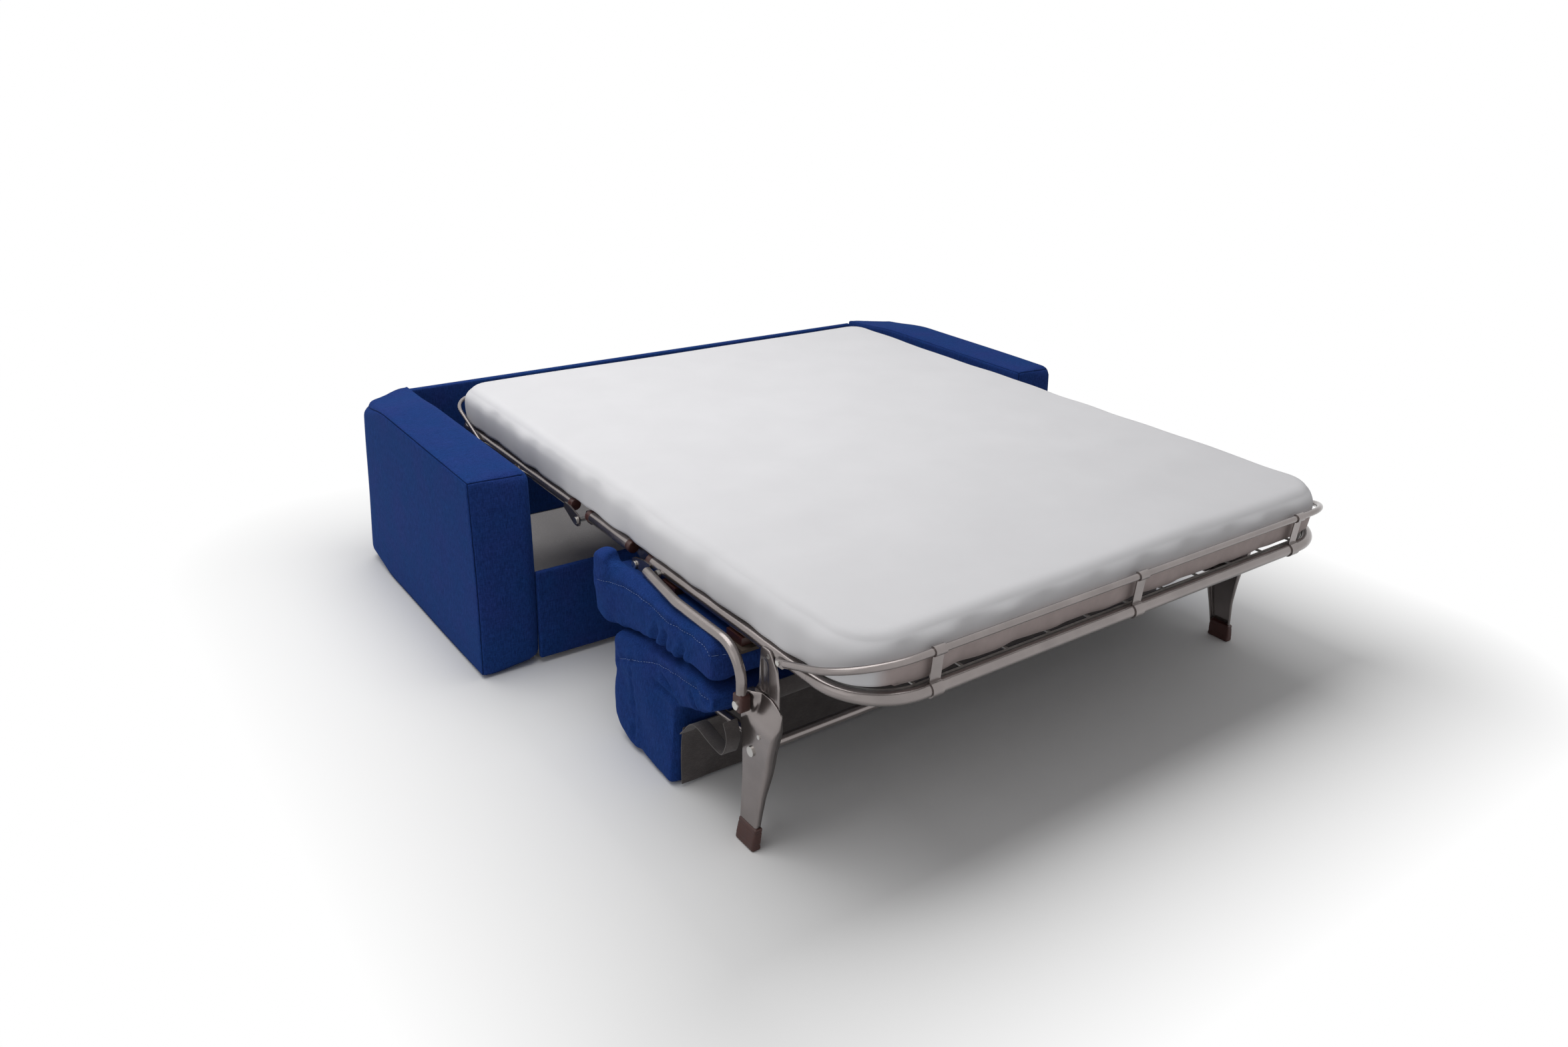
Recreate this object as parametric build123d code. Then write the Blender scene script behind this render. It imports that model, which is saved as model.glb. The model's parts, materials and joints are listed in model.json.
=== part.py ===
from build123d import *
import os
from math import atan2, degrees, hypot

# A sofa bed with an upholstered shell and a fold-out steel bed frame, modelled open as a bed.
# Millimetres. x runs across, y to the back, z up, with the floor at z = 0.
# Places along the depth are given as reach: the distance forward of the arm fronts.

# Shell
SOFA_WIDTH = 2175.0
ARM_WIDTH = 179.0
ARM_DEPTH = 970.0
ARM_HEIGHT = 578.0
ARM_BOTTOM = 14.0
ARM_NOSE_ROUND = 15.0
ARM_TAIL_ROUND = 26.0
ARM_EDGE_ROUND = 13.0
BACK_PANEL_THICK = 22.0
BACK_PANEL_TOP = 558.0
FRONT_PANEL_PROUD = 4.0
FRONT_PANEL_THICK = 18.0
FRONT_PANEL_TOP = 281.0
PANEL_ROUND = 6.0
COVER_BOTTOM = 12.0
COVER_THICK = 4.0
GLIDE_RADIUS = 24.0
GLIDE_INSET = 70.0
BRACKET_THICK = 4.5
BRACKET_TOP_RISE = 78.0
BRACKET_FOOT_DROP = 46.0
BRACKET_END = 52.0
BOLT_RADIUS = 9.0
BOLT_HEAD = 4.0

# Bed frame
RAIL_INSET = 107.5
RAIL_Z = 467.0
RAIL_RADIUS = 15.0
BRACE_RADIUS = 12.5
BRACE_DROP = 8.0
BASE_BRACE_REACHES = (-150.0, -470.0)
KNEE_BRACE_SETBACK = 88.0
FOOT_BRACE_REACHES = (560.0, 800.0, 1040.0)
TUBE_WALL = 1.5
HEAD_ROOM = 176.0
HEAD_BEND = 70.0
FOOT_REACH = 1242.0
FOOT_BEND = 150.0
BEND_STUB = 14.0
PIN_RADIUS = 6.0
PIN_HEAD = 10.0
FRONT_KNEE_REACH = 390.0
RAIL_CUT = 42.0
LUG_THICK = 5.0
LUG_RADIUS = 16.0
LUG_LENGTH = 72.0
LUG_ROOM = 2.0
LUG_TOP_RISE = 3.0
MESH_THICK = 4.0
MESH_WIRE = 7.0
MESH_PITCH = 128.0

# Swing links between the shell and the bed frame
LINK_HEAD_ROOM = 152.0
LINK_SPACING = 300.0
LINK_RISE = 310.0
LINK_RUN = 245.0
LINK_THICK = 8.0
LINK_INSET = 38.5
LINK_STEP = 16.0
LINK_HALF_WIDTH = 19.0
SHAFT_RADIUS = 8.0
SHAFT_BODY = 9.7
SHAFT_HEAD = 13.0
SHAFT_HEAD_LENGTH = 4.5

# Mattress
MATTRESS_BOTTOM = 477.0
MATTRESS_THICK = 122.0
MATTRESS_INSET = 21.0
MATTRESS_ROUND = 20.0
MATTRESS_CROWN = 5.0
MATTRESS_CORNER = 125.0
HEAD_CORNER = 60.0
LAYER_GAP = 4.0

# Retaining bars
BAR_RADIUS = 8.0
BAR_HINGE_REACH = 996.0
BAR_REACH = 1247.0
BAR_Z = 556.0
BAR_BEND = 150.0
TONGUE_LENGTH = 46.0
STRAP_X = 620.0
STRAP_WIDTH = 30.0
STRAP_THICK = 2.8
HEAD_BAR_RADIUS = 6.0
HEAD_BAR_Z = 545.0
HEAD_BAR_RUN = 200.0

# Seat
SEAT_SIDE_ROOM = 15.5
SEAT_LIP_REACH = 308.0
SEAT_LIP_THICK = 45.0
SEAT_LIP_TOP = 484.0
SEAT_END_REACH = 880.0
SEAT_TOP = 449.0
SEAT_BED_ROOM = 14.0
SEAT_FRONT_Z = 285.0
SEAT_MID_REACH = 604.0
SEAT_MID_Z = 340.0
SEAT_REAR_REACH = 747.0
SEAT_REAR_Z = 356.0
BOARD_THICK = 8.0
BOARD_REACH = 475.0
BOARD_INSET = 4.0
BOARD_SETBACK = 14.0
SPACER_REACHES = (540.0, 820.0)
SPACER_HALF = 30.0
CUSHION_END = 40.0
CUSHION_TAPER = 357.0
CUSHION_END_DRAW = 0.3
SEAT_DRAW = 9.0
SEAT_TUBE_RADIUS = 12.5
SEAT_TUBE_RUN = 170.0
SEAT_TUBE_SWEEP = 260.0
BOSS_LENGTH = 9.5
BOSS_SETBACK = 22.0
SEAT_TUBE_REACH = 478.0
SEAT_TUBE_Z = 463.0
SEAT_TUBE_BEND = 78.0

# Backrest and legs
PIVOT_REACH = 915.0
PIVOT_Z = 338.0
HANGER_THICK = 3.0
LEG_SIDE_ROOM = 2.7
LEG_DEPTH = 24.0
LEG_SHEET = 2.5
LEG_REACH = 964.5
LEG_FOOT_WIDTH = 57.0
LEG_LOBE = 28.0
BOOT_HEIGHT = 55.0
BOOT_WALL = 3.0
BOOT_SOLE = 13.7
CROSS_REACH = 938.0
CROSS_Z = 225.0
BACK_REAR_REACH = 423.0
BACK_FRONT_REACH = 700.0
BACK_FLOOR = 6.0
BACK_INNER_Z = 226.0
BACK_LIMB_REACH = 882.0
BACK_LIMB_EDGE = 40.0
BACK_LIMB_DROP = 16.0
BACK_LEAN = 10.0
BACK_GAP = 10.0
BACK_DRAW = 8.0
BACK_TUBE_RADIUS = 11.0
BACK_TUBE_ROOM = 3.0
BACK_TUBE_BEND = 50.0
FELT_THICK = 3.0

# Clearances
SEAT_GAP = 0.3
RUN_GAP = 0.3
SIDE_GAP = 0.6

# Derived places
STRAP_REACH = FOOT_REACH + RAIL_RADIUS + SEAT_GAP + STRAP_THICK
FRONT_Y = (STRAP_REACH - ARM_DEPTH) / 2
ARM_INNER_X = SOFA_WIDTH / 2 - ARM_WIDTH
PANEL_BOTTOM = COVER_BOTTOM + COVER_THICK
BACK_PANEL_INNER = -ARM_DEPTH + BACK_PANEL_THICK
FRONT_PANEL_INNER = FRONT_PANEL_PROUD - FRONT_PANEL_THICK
PIN_Z = RAIL_Z - RAIL_RADIUS - SHAFT_BODY - SEAT_GAP
SEAT_BED = PIN_Z - LUG_RADIUS - LUG_ROOM
KNEE_LENGTH = 2 * (MATTRESS_THICK + MATTRESS_BOTTOM - PIN_Z) + LAYER_GAP
REAR_KNEE_REACH = FRONT_KNEE_REACH - KNEE_LENGTH
RAIL_X = ARM_INNER_X - RAIL_INSET
RAIL_OUTER_X = RAIL_X + RAIL_RADIUS
RAIL_INNER_X = RAIL_X - RAIL_RADIUS
HEAD_REACH = BACK_PANEL_INNER + HEAD_ROOM
LUG_X = RAIL_OUTER_X + SEAT_GAP
BAR_X = RAIL_OUTER_X + BAR_RADIUS + SEAT_GAP
LEG_INNER_X = LUG_X + HANGER_THICK + LEG_SIDE_ROOM
LEG_OUTER_X = LEG_INNER_X + LEG_DEPTH
SEAT_TUBE_X = LEG_OUTER_X + SIDE_GAP + SEAT_TUBE_RADIUS
SEAT_TUBE_START_X = RAIL_OUTER_X + BOSS_LENGTH + SEAT_TUBE_RADIUS
SEAT_HALF_WIDTH = ARM_INNER_X - SEAT_SIDE_ROOM
SEAT_BED_HALF_WIDTH = RAIL_OUTER_X + SEAT_BED_ROOM
BACK_TUBE_X = LEG_INNER_X - BACK_TUBE_ROOM - BACK_TUBE_RADIUS
MATTRESS_HALF_WIDTH = RAIL_X - MATTRESS_INSET
BRACKET_X = ARM_INNER_X - BRACKET_THICK
PIVOT_LOW_Z = PIN_Z - LINK_RISE
LINK_X = ARM_INNER_X - LINK_INSET
REAR_LINK = (HEAD_REACH + LINK_HEAD_ROOM, LINK_X + LINK_STEP)
FRONT_LINK = (REAR_LINK[0] + LINK_SPACING, LINK_X)
MESH_Z = MATTRESS_BOTTOM - SEAT_GAP - MESH_THICK
FOLD_MARGIN = MATTRESS_BOTTOM - PIN_Z + LAYER_GAP


def y_of(reach):
    """The y place of a distance forward of the arm fronts."""
    return FRONT_Y - reach


def side_face(points, radii):
    """A side-view face from (reach, z) corners, each rounded by its own radius."""
    corners = [(y_of(reach), z) for reach, z in points]
    return make_face(FilletPolyline(*corners, radius=radii, close=True))


def side_plate(face, x_low, x_high):
    """A side-view face given its thickness across the sofa."""
    return extrude(Plane.YZ.offset(x_low) * face, amount=x_high - x_low, dir=(1, 0, 0))


def side_disc(radius, reach, z):
    """A side-view disc."""
    return Pos(y_of(reach), z) * Circle(radius)


def side_slot(start, end, radius):
    """A side-view strip with round ends about two (reach, z) points."""
    run = y_of(end[0]) - y_of(start[0])
    rise = end[1] - start[1]
    middle = Pos((y_of(start[0]) + y_of(end[0])) / 2, (start[1] + end[1]) / 2)
    turn = Rot(0, 0, degrees(atan2(rise, run)))
    return middle * turn * SlotCenterToCenter(hypot(run, rise), 2 * radius)


def slab(x_low, x_high, reach_low, reach_high, z_low, z_high):
    """A square-edged block between two places on each axis."""
    size = (x_high - x_low, reach_high - reach_low, z_high - z_low)
    middle = Pos((x_low + x_high) / 2, y_of((reach_low + reach_high) / 2), (z_low + z_high) / 2)
    return middle * Box(*size)


def cross_rod(radius, x_low, x_high, reach, z):
    """A round rod across the sofa."""
    middle = Pos((x_low + x_high) / 2, y_of(reach), z)
    return middle * Rot(0, 90, 0) * Cylinder(radius, x_high - x_low)


def both_sides(*shapes):
    """Solids on the right-hand side with their mirror copies, as one group."""
    return Compound(children=[side for shape in shapes for side in (shape, mirror(shape, about=Plane.YZ))])


def bent_bar(points, section, bends=None):
    """A section swept along (x, reach, z) points, with a bend radius at each inner point."""
    places = [(x, y_of(reach), z) for x, reach, z in points]
    path = FilletPolyline(*places, radius=bends) if bends else Line(*places)
    return sweep(Plane(origin=path @ 0, z_dir=path % 0) * section, path=path)


def bent_rod(points, radius, bends=None):
    """A solid rod along (x, reach, z) points."""
    return bent_bar(points, Circle(radius), bends)


def bent_tube(points, radius, wall, bends=None):
    """A tube along (x, reach, z) points."""
    return bent_bar(points, Circle(radius) - Circle(radius - wall), bends)


def hoop(half_width, reach_legs, reach_bar, z, radius, wall, bend):
    """A level U of tube that is open towards its two legs."""
    points = [
        (-half_width, reach_legs, z),
        (-half_width, reach_bar, z),
        (half_width, reach_bar, z),
        (half_width, reach_legs, z),
    ]
    return bent_tube(points, radius, wall, [bend, bend])


# Shell


def arm():
    """An upholstered arm: a side profile with a rounded nose, softened along both faces."""
    corners = [
        (-ARM_DEPTH, ARM_BOTTOM),
        (0, ARM_BOTTOM),
        (0, ARM_HEIGHT),
        (-ARM_DEPTH, ARM_HEIGHT),
    ]
    profile = side_face(corners, [0, 0, ARM_NOSE_ROUND, ARM_TAIL_ROUND])
    block = side_plate(profile, ARM_INNER_X, SOFA_WIDTH / 2)
    faces = block.faces().sort_by(Axis.X)
    return fillet(faces[0].edges() + faces[-1].edges(), ARM_EDGE_ROUND)


def panel(reach_low, reach_high, z_top):
    """An upholstered board between the arms, rounded along its top edges."""
    half = ARM_INNER_X - SEAT_GAP
    board = slab(-half, half, reach_low, reach_high, PANEL_BOTTOM, z_top)
    return fillet(board.edges().filter_by(Axis.X).group_by(Axis.Z)[-1], PANEL_ROUND)


def bottom_cover():
    """The thin cover under the shell, between the arms, on which both panels stand."""
    half = ARM_INNER_X - SEAT_GAP
    return slab(-half, half, -ARM_DEPTH, FRONT_PANEL_PROUD, COVER_BOTTOM, PANEL_BOTTOM)


def glides():
    """Four round floor glides under the arms, slightly domed at the rim."""
    x = SOFA_WIDTH / 2 - ARM_WIDTH / 2
    pads = []
    for reach in (-GLIDE_INSET, GLIDE_INSET - ARM_DEPTH):
        pad = Pos(x, y_of(reach), ARM_BOTTOM / 2) * Cylinder(GLIDE_RADIUS, ARM_BOTTOM)
        pads.append(chamfer(pad.edges().group_by(Axis.Z)[0], ARM_BOTTOM / 4))
    return both_sides(*pads)


def bracket_bolt_places():
    """The (reach, z) places of the four bolts of one bracket plate."""
    ahead = FRONT_LINK[0] + LINK_RUN + BRACKET_END / 2
    behind = REAR_LINK[0] + LINK_RUN - BRACKET_END / 2
    top = PIVOT_LOW_Z + BRACKET_TOP_RISE - 2 * BOLT_RADIUS
    low = PIVOT_LOW_Z - BRACKET_FOOT_DROP + 2 * BOLT_RADIUS
    return [(reach, z) for reach in (ahead, behind) for z in (top, low)]


def bracket_plate():
    """The steel plate on an arm's inner face that carries both link pivots, arched along its foot."""
    ahead = FRONT_LINK[0] + LINK_RUN + BRACKET_END
    behind = REAR_LINK[0] + LINK_RUN - BRACKET_END
    top = PIVOT_LOW_Z + BRACKET_TOP_RISE
    foot = PIVOT_LOW_Z - BRACKET_FOOT_DROP
    middle = (ahead + behind) / 2
    foot_run = 2 * BRACKET_END
    arch = ThreePointArc(
        (y_of(behind + foot_run), foot), (y_of(middle), PIVOT_LOW_Z), (y_of(ahead - foot_run), foot)
    )
    rest = Polyline(
        (y_of(ahead - foot_run), foot),
        (y_of(ahead), foot),
        (y_of(ahead), top),
        (y_of(behind), top),
        (y_of(behind), foot),
        (y_of(behind + foot_run), foot),
    )
    return side_plate(make_face(arch + rest), BRACKET_X, ARM_INNER_X)


def bracket_bolts():
    """Low round bolt heads on both bracket plates."""
    return both_sides(
        *[cross_rod(BOLT_RADIUS, BRACKET_X - BOLT_HEAD, BRACKET_X, *place) for place in bracket_bolt_places()]
    )


def link_pivot(reach, link_x):
    """A shouldered pivot pin on a bracket plate, with a head that keeps the link on it."""
    place = (reach + LINK_RUN, PIVOT_LOW_Z)
    near = link_x - SIDE_GAP
    far = link_x + LINK_THICK + SIDE_GAP
    pin = cross_rod(SHAFT_RADIUS, near, far, *place)
    pin += cross_rod(SHAFT_HEAD, far, BRACKET_X, *place)
    return pin + cross_rod(SHAFT_HEAD, near - SHAFT_HEAD_LENGTH, near, *place)


# Swing links


def swing_link(reach, link_x):
    """A flat steel link from its pivot on the shell up to its shaft on the bed frame."""
    low = (reach + LINK_RUN, PIVOT_LOW_Z)
    high = (reach, PIN_Z)
    face = side_slot(low, high, LINK_HALF_WIDTH)
    for eye in (low, high):
        face -= side_disc(SHAFT_RADIUS + RUN_GAP, *eye)
    return side_plate(face, link_x, link_x + LINK_THICK)


# Bed frame, base section


def rail(reach_low, reach_high):
    """One straight side rail of the bed frame."""
    return bent_tube([(RAIL_X, reach_low, RAIL_Z), (RAIL_X, reach_high, RAIL_Z)], RAIL_RADIUS, TUBE_WALL)


def brace(reach):
    """A cross tube between the two side rails, a little under their middle."""
    half = RAIL_INNER_X - SEAT_GAP
    z = RAIL_Z - BRACE_DROP
    return bent_tube([(-half, reach, z), (half, reach, z)], BRACE_RADIUS, TUBE_WALL)


def rim_gap():
    """How far the wire mesh stays from the middle line of the tube beside it."""
    return (RAIL_RADIUS**2 - (MESH_Z - RAIL_Z) ** 2) ** 0.5 + SEAT_GAP


def wire_mesh(reach_low, reach_high, rear_corner=0, front_corner=0):
    """A welded wire net between the rails: one face with a regular pattern of openings."""
    half = RAIL_X - rim_gap()
    corners = [
        (-half, y_of(reach_low)),
        (half, y_of(reach_low)),
        (half, y_of(reach_high)),
        (-half, y_of(reach_high)),
    ]
    radii = [rear_corner, rear_corner, front_corner, front_corner]
    outline = make_face(FilletPolyline(*corners, radius=radii, close=True))
    inside = offset(outline, amount=-MESH_WIRE)
    rows = max(1, round((reach_high - reach_low) / MESH_PITCH))
    columns = round(2 * half / MESH_PITCH)
    step_y = (reach_high - reach_low - MESH_WIRE) / rows
    step_x = (2 * half - MESH_WIRE) / columns
    centre = Pos(0, y_of((reach_low + reach_high) / 2))
    gap = Rectangle(step_x - MESH_WIRE, step_y - MESH_WIRE)
    gaps = Sketch() + [centre * place * gap for place in GridLocations(step_x, step_y, columns, rows)]
    net = outline - (gaps & inside)
    return extrude(Pos(0, 0, MESH_Z) * net, amount=MESH_THICK, dir=(0, 0, 1))


def hinge_lug(pin_reach, side, x_low, hole):
    """A lug from a rail's end down to a hinge pin; side is +1 or -1 along the reach."""
    top = RAIL_Z + LUG_TOP_RISE
    points = [
        (pin_reach + side * LUG_LENGTH, top - LUG_RADIUS),
        (pin_reach + side * LUG_RADIUS, PIN_Z - LUG_RADIUS),
        (pin_reach - side * LUG_RADIUS, PIN_Z - LUG_RADIUS),
        (pin_reach - side * LUG_RADIUS, PIN_Z + LUG_RADIUS),
        (pin_reach + side * RAIL_CUT, top),
        (pin_reach + side * LUG_LENGTH, top),
    ]
    round_end = LUG_RADIUS * 0.9
    face = side_face(points, [3, round_end, round_end, round_end, 8, 3])
    return side_plate(face - side_disc(hole, pin_reach, PIN_Z), x_low, x_low + LUG_THICK)


def link_lug(reach):
    """A lug on a rail's outer side that carries a link shaft."""
    face = side_slot((reach, PIN_Z), (reach, RAIL_Z - SHAFT_HEAD), LUG_RADIUS + 2)
    face -= side_disc(SHAFT_BODY + RUN_GAP, reach, PIN_Z)
    return side_plate(face, LUG_X, LUG_X + LUG_THICK)


def link_shaft(reach, link_x):
    """The shaft right across the frame whose two ends carry a pair of links."""
    near = link_x - SIDE_GAP
    far = link_x + LINK_THICK + SIDE_GAP
    shaft = cross_rod(SHAFT_BODY, -near, near, reach, PIN_Z)
    shaft += cross_rod(SHAFT_RADIUS, -far, far, reach, PIN_Z)
    for low in (far, -far - SHAFT_HEAD_LENGTH):
        shaft += cross_rod(SHAFT_HEAD, low, low + SHAFT_HEAD_LENGTH, reach, PIN_Z)
    return shaft


def head_retaining_bar():
    """A raised rod round the head of the mattress, sloping up from both rails."""
    foot_x = RAIL_OUTER_X + HEAD_BAR_RADIUS + SEAT_GAP
    reach = HEAD_REACH - RAIL_RADIUS + HEAD_BAR_RADIUS
    points = [
        (-foot_x, HEAD_REACH + HEAD_BAR_RUN, RAIL_Z),
        (-foot_x, reach, HEAD_BAR_Z),
        (foot_x, reach, HEAD_BAR_Z),
        (foot_x, HEAD_REACH + HEAD_BAR_RUN, RAIL_Z),
    ]
    return bent_rod(points, HEAD_BAR_RADIUS, [HEAD_BEND, HEAD_BEND])


# Mattress


def mattress(reach_low, reach_high, rear_corner=0, front_corner=0):
    """A slice of the mattress: a crowned cross-section cut by a plan with rounded corners."""
    half = MATTRESS_HALF_WIDTH
    top = MATTRESS_BOTTOM + MATTRESS_THICK
    shoulder = top - MATTRESS_CROWN
    crown = ThreePointArc((-half, shoulder), (0, top), (half, shoulder))
    sides = Polyline((half, shoulder), (half, MATTRESS_BOTTOM), (-half, MATTRESS_BOTTOM), (-half, shoulder))
    section = make_face(crown + sides)
    section = fillet(section.vertices().group_by(Axis.Y)[-1], MATTRESS_ROUND)
    length = reach_high - reach_low
    block = extrude(Plane.XZ.offset(-y_of(reach_low)) * section, amount=length, dir=(0, -1, 0))
    corners = [
        (-half, y_of(reach_low)),
        (half, y_of(reach_low)),
        (half, y_of(reach_high)),
        (-half, y_of(reach_high)),
    ]
    radii = [rear_corner, rear_corner, front_corner, front_corner]
    plan = make_face(FilletPolyline(*corners, radius=radii, close=True))
    return block & extrude(Pos(0, 0, MATTRESS_BOTTOM) * plan, amount=MATTRESS_THICK, dir=(0, 0, 1))


# Knee section


def knee_pin(reach):
    """A hinge pin through a knee lug and the lug of the next section, with a head at each end."""
    inner = RAIL_INNER_X - SEAT_GAP - LUG_THICK
    outer = LUG_X + LUG_THICK + SIDE_GAP
    pin = cross_rod(PIN_RADIUS, inner - SEAT_GAP, outer, reach, PIN_Z)
    pin += cross_rod(PIN_HEAD, inner - SEAT_GAP - BOLT_HEAD, inner - SEAT_GAP, reach, PIN_Z)
    return pin + cross_rod(PIN_HEAD, outer, outer + BOLT_HEAD, reach, PIN_Z)


# Foot section


def foot_retaining_bar():
    """The raised bar round the foot of the mattress, sloping up from flattened ends on the rails."""
    start = BAR_HINGE_REACH + TONGUE_LENGTH / 2
    slope = (BAR_Z - RAIL_Z) / (BAR_REACH - BAR_HINGE_REACH)
    points = [
        (-BAR_X, start, RAIL_Z + slope * (start - BAR_HINGE_REACH)),
        (-BAR_X, BAR_REACH, BAR_Z),
        (BAR_X, BAR_REACH, BAR_Z),
        (BAR_X, start, RAIL_Z + slope * (start - BAR_HINGE_REACH)),
    ]
    bar = bent_rod(points, BAR_RADIUS, [BAR_BEND, BAR_BEND])
    tongue = side_slot(
        (BAR_HINGE_REACH, RAIL_Z),
        (start + BAR_RADIUS, RAIL_Z + slope * (start + BAR_RADIUS - BAR_HINGE_REACH)),
        BAR_RADIUS + 1,
    )
    flat = side_plate(tongue, BAR_X - STRAP_THICK / 2, BAR_X + STRAP_THICK / 2)
    return bar + flat + mirror(flat, about=Plane.YZ)


def bar_brackets():
    """Short plates on the rails to which the flattened bar ends are riveted."""
    face = side_slot((BAR_HINGE_REACH - 2, RAIL_Z), (BAR_HINGE_REACH + 8, RAIL_Z), BAR_RADIUS + 3)
    return both_sides(side_plate(face, LUG_X, BAR_X - STRAP_THICK / 2 - SEAT_GAP))


def retaining_strap(x):
    """A flat strap that loops round the foot tube and round the raised bar above it."""
    low = (FOOT_REACH, RAIL_Z)
    high = (BAR_REACH, BAR_Z)
    loop_low = RAIL_RADIUS + SEAT_GAP
    loop_high = BAR_RADIUS + SEAT_GAP
    face = side_disc(loop_low + STRAP_THICK, *low) + side_disc(loop_high + STRAP_THICK, *high)
    face += side_slot(low, high, STRAP_THICK / 2)
    face -= side_disc(loop_low, *low)
    face -= side_disc(loop_high, *high)
    outside = Pos(y_of(FOOT_REACH - STRAP_THICK / 2 + RAIL_Z / 2), RAIL_Z) * Rectangle(RAIL_Z, RAIL_Z)
    face &= outside
    return side_plate(face, x - STRAP_WIDTH / 2, x + STRAP_WIDTH / 2)


def seat_tube():
    """A side tube of the seat frame, bent down in front of the cushion to its pivot cap."""
    cap_top = PIVOT_Z + 2 * SEAT_TUBE_RADIUS + SEAT_GAP
    points = [
        (SEAT_TUBE_START_X, SEAT_TUBE_REACH, SEAT_TUBE_Z),
        (SEAT_TUBE_X, SEAT_TUBE_REACH + SEAT_TUBE_RUN, SEAT_TUBE_Z),
        (SEAT_TUBE_X, PIVOT_REACH, SEAT_TUBE_Z),
        (SEAT_TUBE_X, PIVOT_REACH, cap_top),
    ]
    return bent_tube(points, SEAT_TUBE_RADIUS, TUBE_WALL, [SEAT_TUBE_SWEEP, SEAT_TUBE_BEND])


def seat_tube_boss():
    """The boss that bolts a seat tube's rear end to the side rail."""
    reach = SEAT_TUBE_REACH + BOSS_SETBACK
    near = SEAT_TUBE_START_X - SEAT_TUBE_RADIUS
    return cross_rod(BOLT_RADIUS, RAIL_OUTER_X + SEAT_GAP, near + SEAT_GAP, reach, SEAT_TUBE_Z)


def pivot_cap():
    """The plastic end cap of a seat tube, with the leg's pivot hole."""
    top = PIVOT_Z + 2 * SEAT_TUBE_RADIUS
    half = SEAT_TUBE_RADIUS + 4
    low = PIVOT_Z - half
    corners = [
        (PIVOT_REACH - half, low),
        (PIVOT_REACH + half, low),
        (PIVOT_REACH + half, top),
        (PIVOT_REACH - half, top),
    ]
    face = side_face(corners, [half * 0.8, half * 0.8, 4, 4])
    face -= side_disc(PIN_RADIUS + RUN_GAP / 2, PIVOT_REACH, PIVOT_Z)
    return side_plate(face, LEG_OUTER_X + SIDE_GAP, SEAT_TUBE_X + SEAT_TUBE_RADIUS)


def pivot_pin():
    """The pivot pin through a hanger, a leg and a cap, with a rivet head outside."""
    inner = LUG_X - SEAT_GAP / 2
    outer = SEAT_TUBE_X + SEAT_TUBE_RADIUS
    pin = cross_rod(PIN_RADIUS, inner, outer, PIVOT_REACH, PIVOT_Z)
    return pin + cross_rod(PIN_HEAD, outer, outer + BOLT_HEAD, PIVOT_REACH, PIVOT_Z)


def leg_hanger():
    """The plate that hangs from a side rail beside the leg and carries the inner end of its pivot."""
    lobe = LEG_LOBE * 0.6
    points = [
        (PIVOT_REACH + 22, RAIL_Z + 11),
        (PIVOT_REACH + 58, RAIL_Z + 11),
        (PIVOT_REACH + 76, PIVOT_Z + 70),
        (PIVOT_REACH + 66, PIVOT_Z + 8),
        (PIVOT_REACH + 20, PIVOT_Z - lobe),
        (PIVOT_REACH - lobe, PIVOT_Z - lobe),
        (PIVOT_REACH - lobe, PIVOT_Z + lobe),
        (PIVOT_REACH + 18, PIVOT_Z + 60),
    ]
    face = side_face(points, [16, 16, 30, 24, 10, lobe * 0.9, 8, 20])
    face -= side_disc(PIN_RADIUS + RUN_GAP / 2, PIVOT_REACH, PIVOT_Z)
    return side_plate(face, LUG_X, LUG_X + HANGER_THICK)


def hanger_rivets():
    """Domed rivets that hold the hangers and the bar ends to the rails."""
    plate_x = LUG_X + HANGER_THICK
    tongue_x = BAR_X + STRAP_THICK / 2
    hanger = cross_rod(PIN_RADIUS, plate_x, plate_x + BOLT_HEAD / 2, PIVOT_REACH + 40, RAIL_Z - 6)
    tongue = cross_rod(PIN_RADIUS, tongue_x, tongue_x + BOLT_HEAD / 2, BAR_HINGE_REACH, RAIL_Z)
    return both_sides(hanger, tongue)


def soft_form(points, radii, half_width, draw):
    """A cushion: its side profile lofted across the width, drawn in towards both ends."""
    middle_reach = sum(reach for reach, z in points) / len(points)
    middle_z = sum(z for reach, z in points) / len(points)
    span = max(z for reach, z in points) - min(z for reach, z in points)
    right = [(half_width - CUSHION_TAPER, 0), (half_width - CUSHION_END, CUSHION_END_DRAW), (half_width, 1)]
    left = [(-place, share) for place, share in reversed(right)]
    faces = []
    for place, share in left + right:
        shrink = 1 - 2 * draw * share / span
        moved = [
            (middle_reach + (reach - middle_reach) * shrink, middle_z + (z - middle_z) * shrink)
            for reach, z in points
        ]
        faces.append(Plane.YZ.offset(place) * side_face(moved, radii))
    return loft(faces, ruled=True)


def seat_cushion():
    """The seat cushion, upside down under the foot of the bed, with its front edge towards the sofa."""
    points = [
        (SEAT_LIP_REACH, SEAT_FRONT_Z),
        (SEAT_MID_REACH, SEAT_MID_Z),
        (SEAT_REAR_REACH, SEAT_REAR_Z),
        (SEAT_END_REACH, SEAT_REAR_Z),
        (SEAT_END_REACH, SEAT_TOP),
        (SEAT_LIP_REACH + SEAT_LIP_THICK, SEAT_TOP),
        (SEAT_LIP_REACH + SEAT_LIP_THICK, SEAT_LIP_TOP),
        (SEAT_LIP_REACH, SEAT_LIP_TOP),
    ]
    form = soft_form(points, [26, 300, 300, 26, 18, 10, 14, 18], SEAT_HALF_WIDTH, SEAT_DRAW)
    half = SEAT_BED_HALF_WIDTH
    return form - slab(-half, half, SEAT_LIP_REACH - 20, SEAT_END_REACH + 20, SEAT_BED, SEAT_LIP_TOP + 20)


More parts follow.
